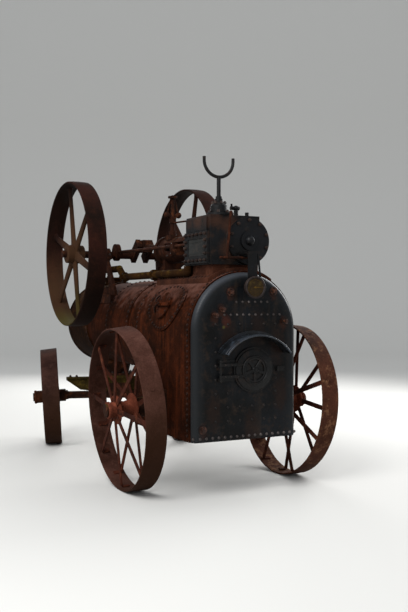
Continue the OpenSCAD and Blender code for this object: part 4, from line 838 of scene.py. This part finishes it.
# Chimney seat: the bolted flange that the chimney stood on, riveted to the smokebox by a skirt.
# The smokebox door below it hangs on two straps, each riveted through.
seat_y, seat_lift, seat_bolt_r = back_y + 3.050, 0.512, 0.1386
skirt_r, skirt_row = 0.466, 0.150
strap_face, strap_lift = back_y + 3.428, 0.130
seat_bolts = circle_places((0, seat_y, boiler_z + seat_lift), seat_bolt_r, 6, upwards, 120)
nuts("seat_nuts", seat_bolts, 0.024, 0.014)
skirt_a = all_round(16)
skirt_places = on_crown(skirt_row * np.sin(skirt_a), seat_y + skirt_row * np.cos(skirt_a), skirt_r)
rivets("skirt_rivets", skirt_places, smokebox_rust, 0.010, 0.008)
strap_x = (-0.25, -0.17, -0.09, -0.03)
strap_places = [(x, strap_face, boiler_z + side * strap_lift) for x in strap_x for side in (-1, 1)]
rivets("door_strap_heads", (strap_places, to_front), smokebox_rust, 0.010, 0.008, "smokebox_door")

# Running gear: forged axles and cast brackets. The fore-carriage stands turned, as it was left,
# and its bolster, bolted up from plate, turns on a ring below the smokebox.
lock = math.radians(15.9)
pivot = np.array([0.0, back_y + 2.972, 0.0])
bolster_top, turntable_top, turntable_bolt_r = 0.7381, 0.7861, 0.150
# Forged iron near the ground: dark rust, ochre lichen on top.
axle_rust = aged_iron(
    "rusted_axle_forging", "2e1a11", "160c07", "502c1a", growth="4c3c18", cover=0.12, streak=0.3
)
dress(["rear_axle_left", "rear_axle_right", "fore_pedestal"], axle_rust)
softened("front_axle", axle_rust)
# Iron plate in damp shade: ochre all over, with yellow-green lichen.
bolster_ochre = aged_iron(
    "lichened_bolster", "403417", "20180b", "56461d", growth="554b1c", cover=0.2, streak=0.3, underside_shade=0.3,
    gleam=0.03,
)
softened("fore_bolster", bolster_ochre, 0.003)
bolster_bolts = np.array([(x, y, bolster_top) for x in (-0.54, -0.47, 0.47, 0.54) for y in (-0.022, 0.022)])
bolster_places = turned_about(bolster_bolts, -lock) + pivot
nuts("bolster_nuts", (bolster_places, upwards), 0.024, 0.014, body="fore_carriage")
turntable_places = circle_places((0, pivot[1], turntable_top), turntable_bolt_r, 8, upwards)
nuts("turntable_nuts", turntable_places, 0.024, 0.014)

# Road wheels: rolled iron tyres on flat bar spokes in two rows, riveted to the tyre inside,
# and a long cast nave with two flanges. The tread is worn to a pinkish-brown crust.
rear_r, rear_x, rear_y = 0.690, 0.813, 0.651
front_r, front_x, front_y = 0.530, 0.755, 2.972
tyre_edge, nave_lip, nave_bore = 0.004, 0.006, 0.031
spoke_wide, spoke_thick, spoke_bend, foot_long = 0.042, 0.012, 0.018, 0.052
joints = {joint["name"]: joint for joint in frame["joints"]}
# Cast naves: the rear ones bright with fresh rust, the front ones brown under dirt and moss.
nave_red = aged_iron("fresh_rusted_nave", "6b3626", "35190f", "8a4c38", streak=0.1, pit_mm=8, bump=0.5)
nave_brown = aged_iron(
    "grimy_front_nave", "42200f", "1e0f07", "5c3019", growth="3c3216", cover=0.1, streak=0.1, pit_mm=8, bump=0.5
)
# Rolled tyres: a coarse dry crust, dusty pink at the rear left, ochre at the rear right, darker in front,
# and darker towards the foot; their downward faces carry painted shade.
coarse = {"streak": 0.15, "pit_mm": 16, "bump": 0.4}
tread_rust = aged_iron("worn_tread_crust", "4c3028", "2c170f", "5f4238", underside_shade=0.85, fleck=0.3, **coarse)
ochre_tread = aged_iron(
    "ochre_tread_crust", "4f2d20", "2c170f", "7a563d", growth="664a33", cover=0.1, underside_shade=0.6, **coarse
)
dark_tread = aged_iron("dark_tread_crust", "412a23", "241410", "533931", underside_shade=0.85, fleck=0.3, **coarse)
for crust, radius, hubs in (
    (tread_rust, rear_r, [(-rear_x, rear_y)]),
    (dark_tread, front_r, [(front_x, front_y), (-front_x, front_y)]),
):
    feet = [(x, back_y + y - 0.8 * radius, 0.29 * radius) for x, y in hubs]
    stain(crust, feet, 1.3 * radius, "28160a", drip=1.0, fray=0.10, strength=0.8)
# Rolled flat bar: an even dark red rust.
spoke_rust = aged_iron("rusted_spoke_bar", "431f14", "210f09", "60321f", streak=0.2)


def place_wheel(points, joint, side):
    """From the wheel's own axes (Z outwards, X down) to where its joint says; side is 1 right, -1 left."""
    axle = np.array(joint["axis"], float)
    down = unit(axle[2] * axle - [0, 0, 1])
    return np.array(joint["pos_m"]) + points @ np.stack([down, unit(np.cross([0, 0, 1], axle)), axle * side])


def road_wheel(
    name, side, radius, width, nave_in, nave_out, nave_r, flange, spokes, first_deg, crust, nave_coat
):
    """One wheel in its own axes, then set on its axle.

    The tyre is a cone to suit the axle's lean. A spoke runs straight from the nave's flange (hub) to the knee,
    bends through a quarter circle and ends in a foot along the tyre; the rows are half a pitch apart.
    """
    joint = joints[name + "_spin"]
    slope = abs(joint["axis"][2]) / math.hypot(*joint["axis"][:2])
    tyre, half, e = radius / 49, width / 2, tyre_edge
    section = [
        (radius - z * slope - inward, z)
        for z, inward in ((e - half, 0), (half - e, 0), (half, e), (half, tyre - e), (half - e, tyre),
                          (e - half, tyre), (-half, tyre - e), (-half, e))
    ]
    parts = [hoop(section, 128)]
    heads = []
    arc = np.linspace(0, math.pi / 2, 5)[1:]
    for row in (1, -1):
        rim_z = row * (half - 0.038)
        rim_r = radius - tyre - rim_z * slope - spoke_thick / 2
        hub, knee = np.array([nave_r + 0.006, row * (flange + 0.013)]), np.array([rim_r - spoke_bend, rim_z])
        straight = hub + (knee - hub) * np.linspace(0, 1, 6)[:, None]
        curve = knee + spoke_bend * np.stack([np.sin(arc), -row * (1 - np.cos(arc))], axis=-1)
        foot_z = curve[-1, 1] - row * foot_long * np.linspace(0.3, 1, 3)
        line = np.vstack([straight, curve, [(rim_r, z) for z in foot_z]])
        bar, bar_faces = swept(np.insert(line, 1, 0, axis=1), spoke_wide, spoke_thick, (0, 1, 0))
        head_z = foot_z[0] + (foot_z[-1] - foot_z[0]) * np.array([0.35, 0.8])
        spot = xyz(rim_r + spoke_thick / 2 + tyre - 0.0015, 0, head_z)
        for i in range(spokes):
            angle = math.radians(first_deg + (i + (row < 0) / 2) * 360 / spokes)
            parts.append((turned_about(bar, angle), bar_faces))
            heads.append(turned_about(spot, angle))
    parts = [(place_wheel(points, joint, side), faces) for points, faces in parts]
    wheel = joined(name + "_iron", parts, [spoke_rust, crust], 40, name)
    slots = np.arange(len(wheel.data.polygons)) < len(parts[0][1])
    wheel.data.polygons.foreach_set("material_index", slots.astype(int))
    r, f = nave_r, flange
    nave = [
        (nave_bore, -nave_in), (r - nave_lip, -nave_in), (r, -nave_in + nave_lip), (r, -f - 0.010),
        (r + 0.056, -f - 0.006), (r + 0.058, -f + 0.005), (r + 0.010, -f + 0.014), (r - 0.004, 0.0),
        (r + 0.010, f - 0.014), (r + 0.058, f - 0.005), (r + 0.056, f + 0.006), (r, f + 0.012),
        (r, nave_out - 0.028), (r + 0.006, nave_out - 0.024), (r + 0.006, nave_out - nave_lip), (r, nave_out),
        (nave_bore, nave_out),
    ]
    points, faces = turned(nave, 48)
    joined(name + "_nave", [(place_wheel(points, joint, side), faces)], [nave_coat], 35, name)
    heads = np.vstack(heads)
    outward = place_wheel(heads * [1, 1, 0], joint, side) - joint["pos_m"]
    rivets(name + "_rivets", (place_wheel(heads, joint, side), outward), crust, 0.011, 0.0025, name)
    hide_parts(name)


for side, label, rear_crust in ((-1, "left", tread_rust), (1, "right", ochre_tread)):
    road_wheel(
        f"rear_wheel_{label}", side, rear_r, width=0.174, nave_in=0.110, nave_out=0.157, nave_r=0.067,
        flange=0.073, spokes=8, first_deg=4, crust=rear_crust, nave_coat=nave_red,
    )
    road_wheel(
        f"front_wheel_{label}", side, front_r, width=0.180, nave_in=0.165, nave_out=0.185, nave_r=0.068,
        flange=0.076, spokes=7, first_deg=8, crust=dark_tread, nave_coat=nave_brown,
    )

# Flywheels: one iron casting each, a crowned rim on six oval arms that swell into rim and boss.
# They are seized at different turns; lean is how far their first arm leans back from upright.
fly_r, fly_half, fly_edge = 0.759, 0.095, 0.007
fly_rim_edge, fly_rim_mid = 0.024, 0.036
boss_r, boss_half = 0.098, 0.092
arm_count, arm_wide, arm_thick = 6, (0.096, 0.064), (0.046, 0.036)


def fly_finish(label, centre, tan):
    """One flywheel's cast iron, dark red-brown where the belt has polished its face.

    The rest has dried to tan in front of the boss and grown green at its foot. The belt face is where the
    normal follows the line out from the axle, their product from 0.5 to 0.9, beyond 0.4 m from the axle.
    """
    mat = aged_iron(
        "flywheel_casting_" + label, "2a130d", "130905", "331a10", streak=0.12, pit_mm=10, bump=0.15,
        underside_shade=0.85, fleck=0.5,
    )
    tree = mat.node_tree
    plain = tree.nodes["Principled BSDF"].inputs["Base Color"].links[0].from_socket
    x, y, z = centre
    stain(mat, [(x, y, z), (x, y + 0.45, z - 0.45)], 0.62, "412c1c", drip=1.0, fray=0.14, strength=tan)
    stain(mat, [(x, y + 0.05, z - 0.74)], 0.46, "423c18", drip=1.0, fray=0.14, strength=0.75)
    place = add(tree, "TexCoord", out="Object")
    arm = add(tree, "VectorMath", {0: place, 1: centre}, operation="SUBTRACT")
    arm = add(tree, "VectorMath", {0: arm, 1: (0.0, 1.0, 1.0)}, operation="MULTIPLY")
    line = add(tree, "VectorMath", {0: arm}, operation="NORMALIZE")
    normal = add(tree, "NewGeometry", out="Normal")
    outward = add(tree, "VectorMath", {0: line, 1: normal}, operation="DOT_PRODUCT")
    facing_out = add(tree, "MapRange", {"Value": outward, "From Min": 0.5, "From Max": 0.9})
    gap = add(tree, "VectorMath", {0: arm}, operation="LENGTH")
    on_rim = add(tree, "MapRange", {"Value": gap, "From Min": 0.4, "From Max": 0.5})
    lay_over(mat, add(tree, "Math", {0: facing_out, 1: on_rim}, operation="MULTIPLY"), plain)
    return mat


def oval_arm(root_r, tip_r):
    """A tapering oval bar along X, flared at both ends: width and thickness are functions of the radius."""
    u = np.linspace(0, 1, 22)[:, None]
    v = all_round(20)
    run = tip_r - root_r
    flare = 1 + 0.55 * np.exp(-(1 - u) * run / 0.022) + 0.35 * np.exp(-u * run / 0.03)
    wide, thick = [(size[0] + (size[1] - size[0]) * u) / 2 * flare for size in (arm_wide, arm_thick)]
    return capped(xyz(root_r + run * u, wide * np.cos(v), thick * np.sin(v)))


def flywheel(label, lean_deg, tan):
    """Rim, arms and boss of one flywheel, turned to where the seized crank holds it."""
    centre = np.mean(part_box("flywheel_" + label), axis=0)
    h, e, r = fly_half, fly_edge, fly_r
    rim_in, rim_mid, shoulder = r - fly_rim_edge, r - fly_rim_mid, r - 0.004
    section = [
        (shoulder, e - h), (r - 0.001, -h / 2), (r, 0), (r - 0.001, h / 2), (shoulder, h - e),
        (shoulder - e, h), (rim_in + e, h), (rim_in, h - e), (rim_in - 0.003, 0.05), (rim_mid, 0.022),
        (rim_mid, -0.022), (rim_in - 0.003, -0.05), (rim_in, e - h), (rim_in + e, -h), (shoulder - e, -h),
    ]
    b, top = boss_r, boss_half
    half_boss = [(b, 0.03), (b - 0.004, top - 0.006), (b - 0.012, top), (0.036, top)]
    boss = [(radius, -z) for radius, z in half_boss[::-1]] + half_boss
    arm, arm_faces = oval_arm(boss_r - 0.022, rim_mid + 0.006)
    arms = [(turned_about(arm, i * 2 * math.pi / arm_count), arm_faces) for i in range(arm_count)]
    c, s = math.cos(math.radians(lean_deg)), math.sin(math.radians(lean_deg))
    axes = np.array([[0, -s, c], [0, c, s], [-1, 0, 0]])
    parts = [hoop(section, 144), *arms, turned(boss, 56)]
    parts = [(points @ axes + centre, faces) for points, faces in parts]
    finish = fly_finish(label, centre.tolist(), tan)
    wheel = joined("flywheel_casting_" + label, parts, [finish], 38)
    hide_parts("flywheel_" + label)


flywheel("left", -12, 0.7)
flywheel("right", 15, 0.25)
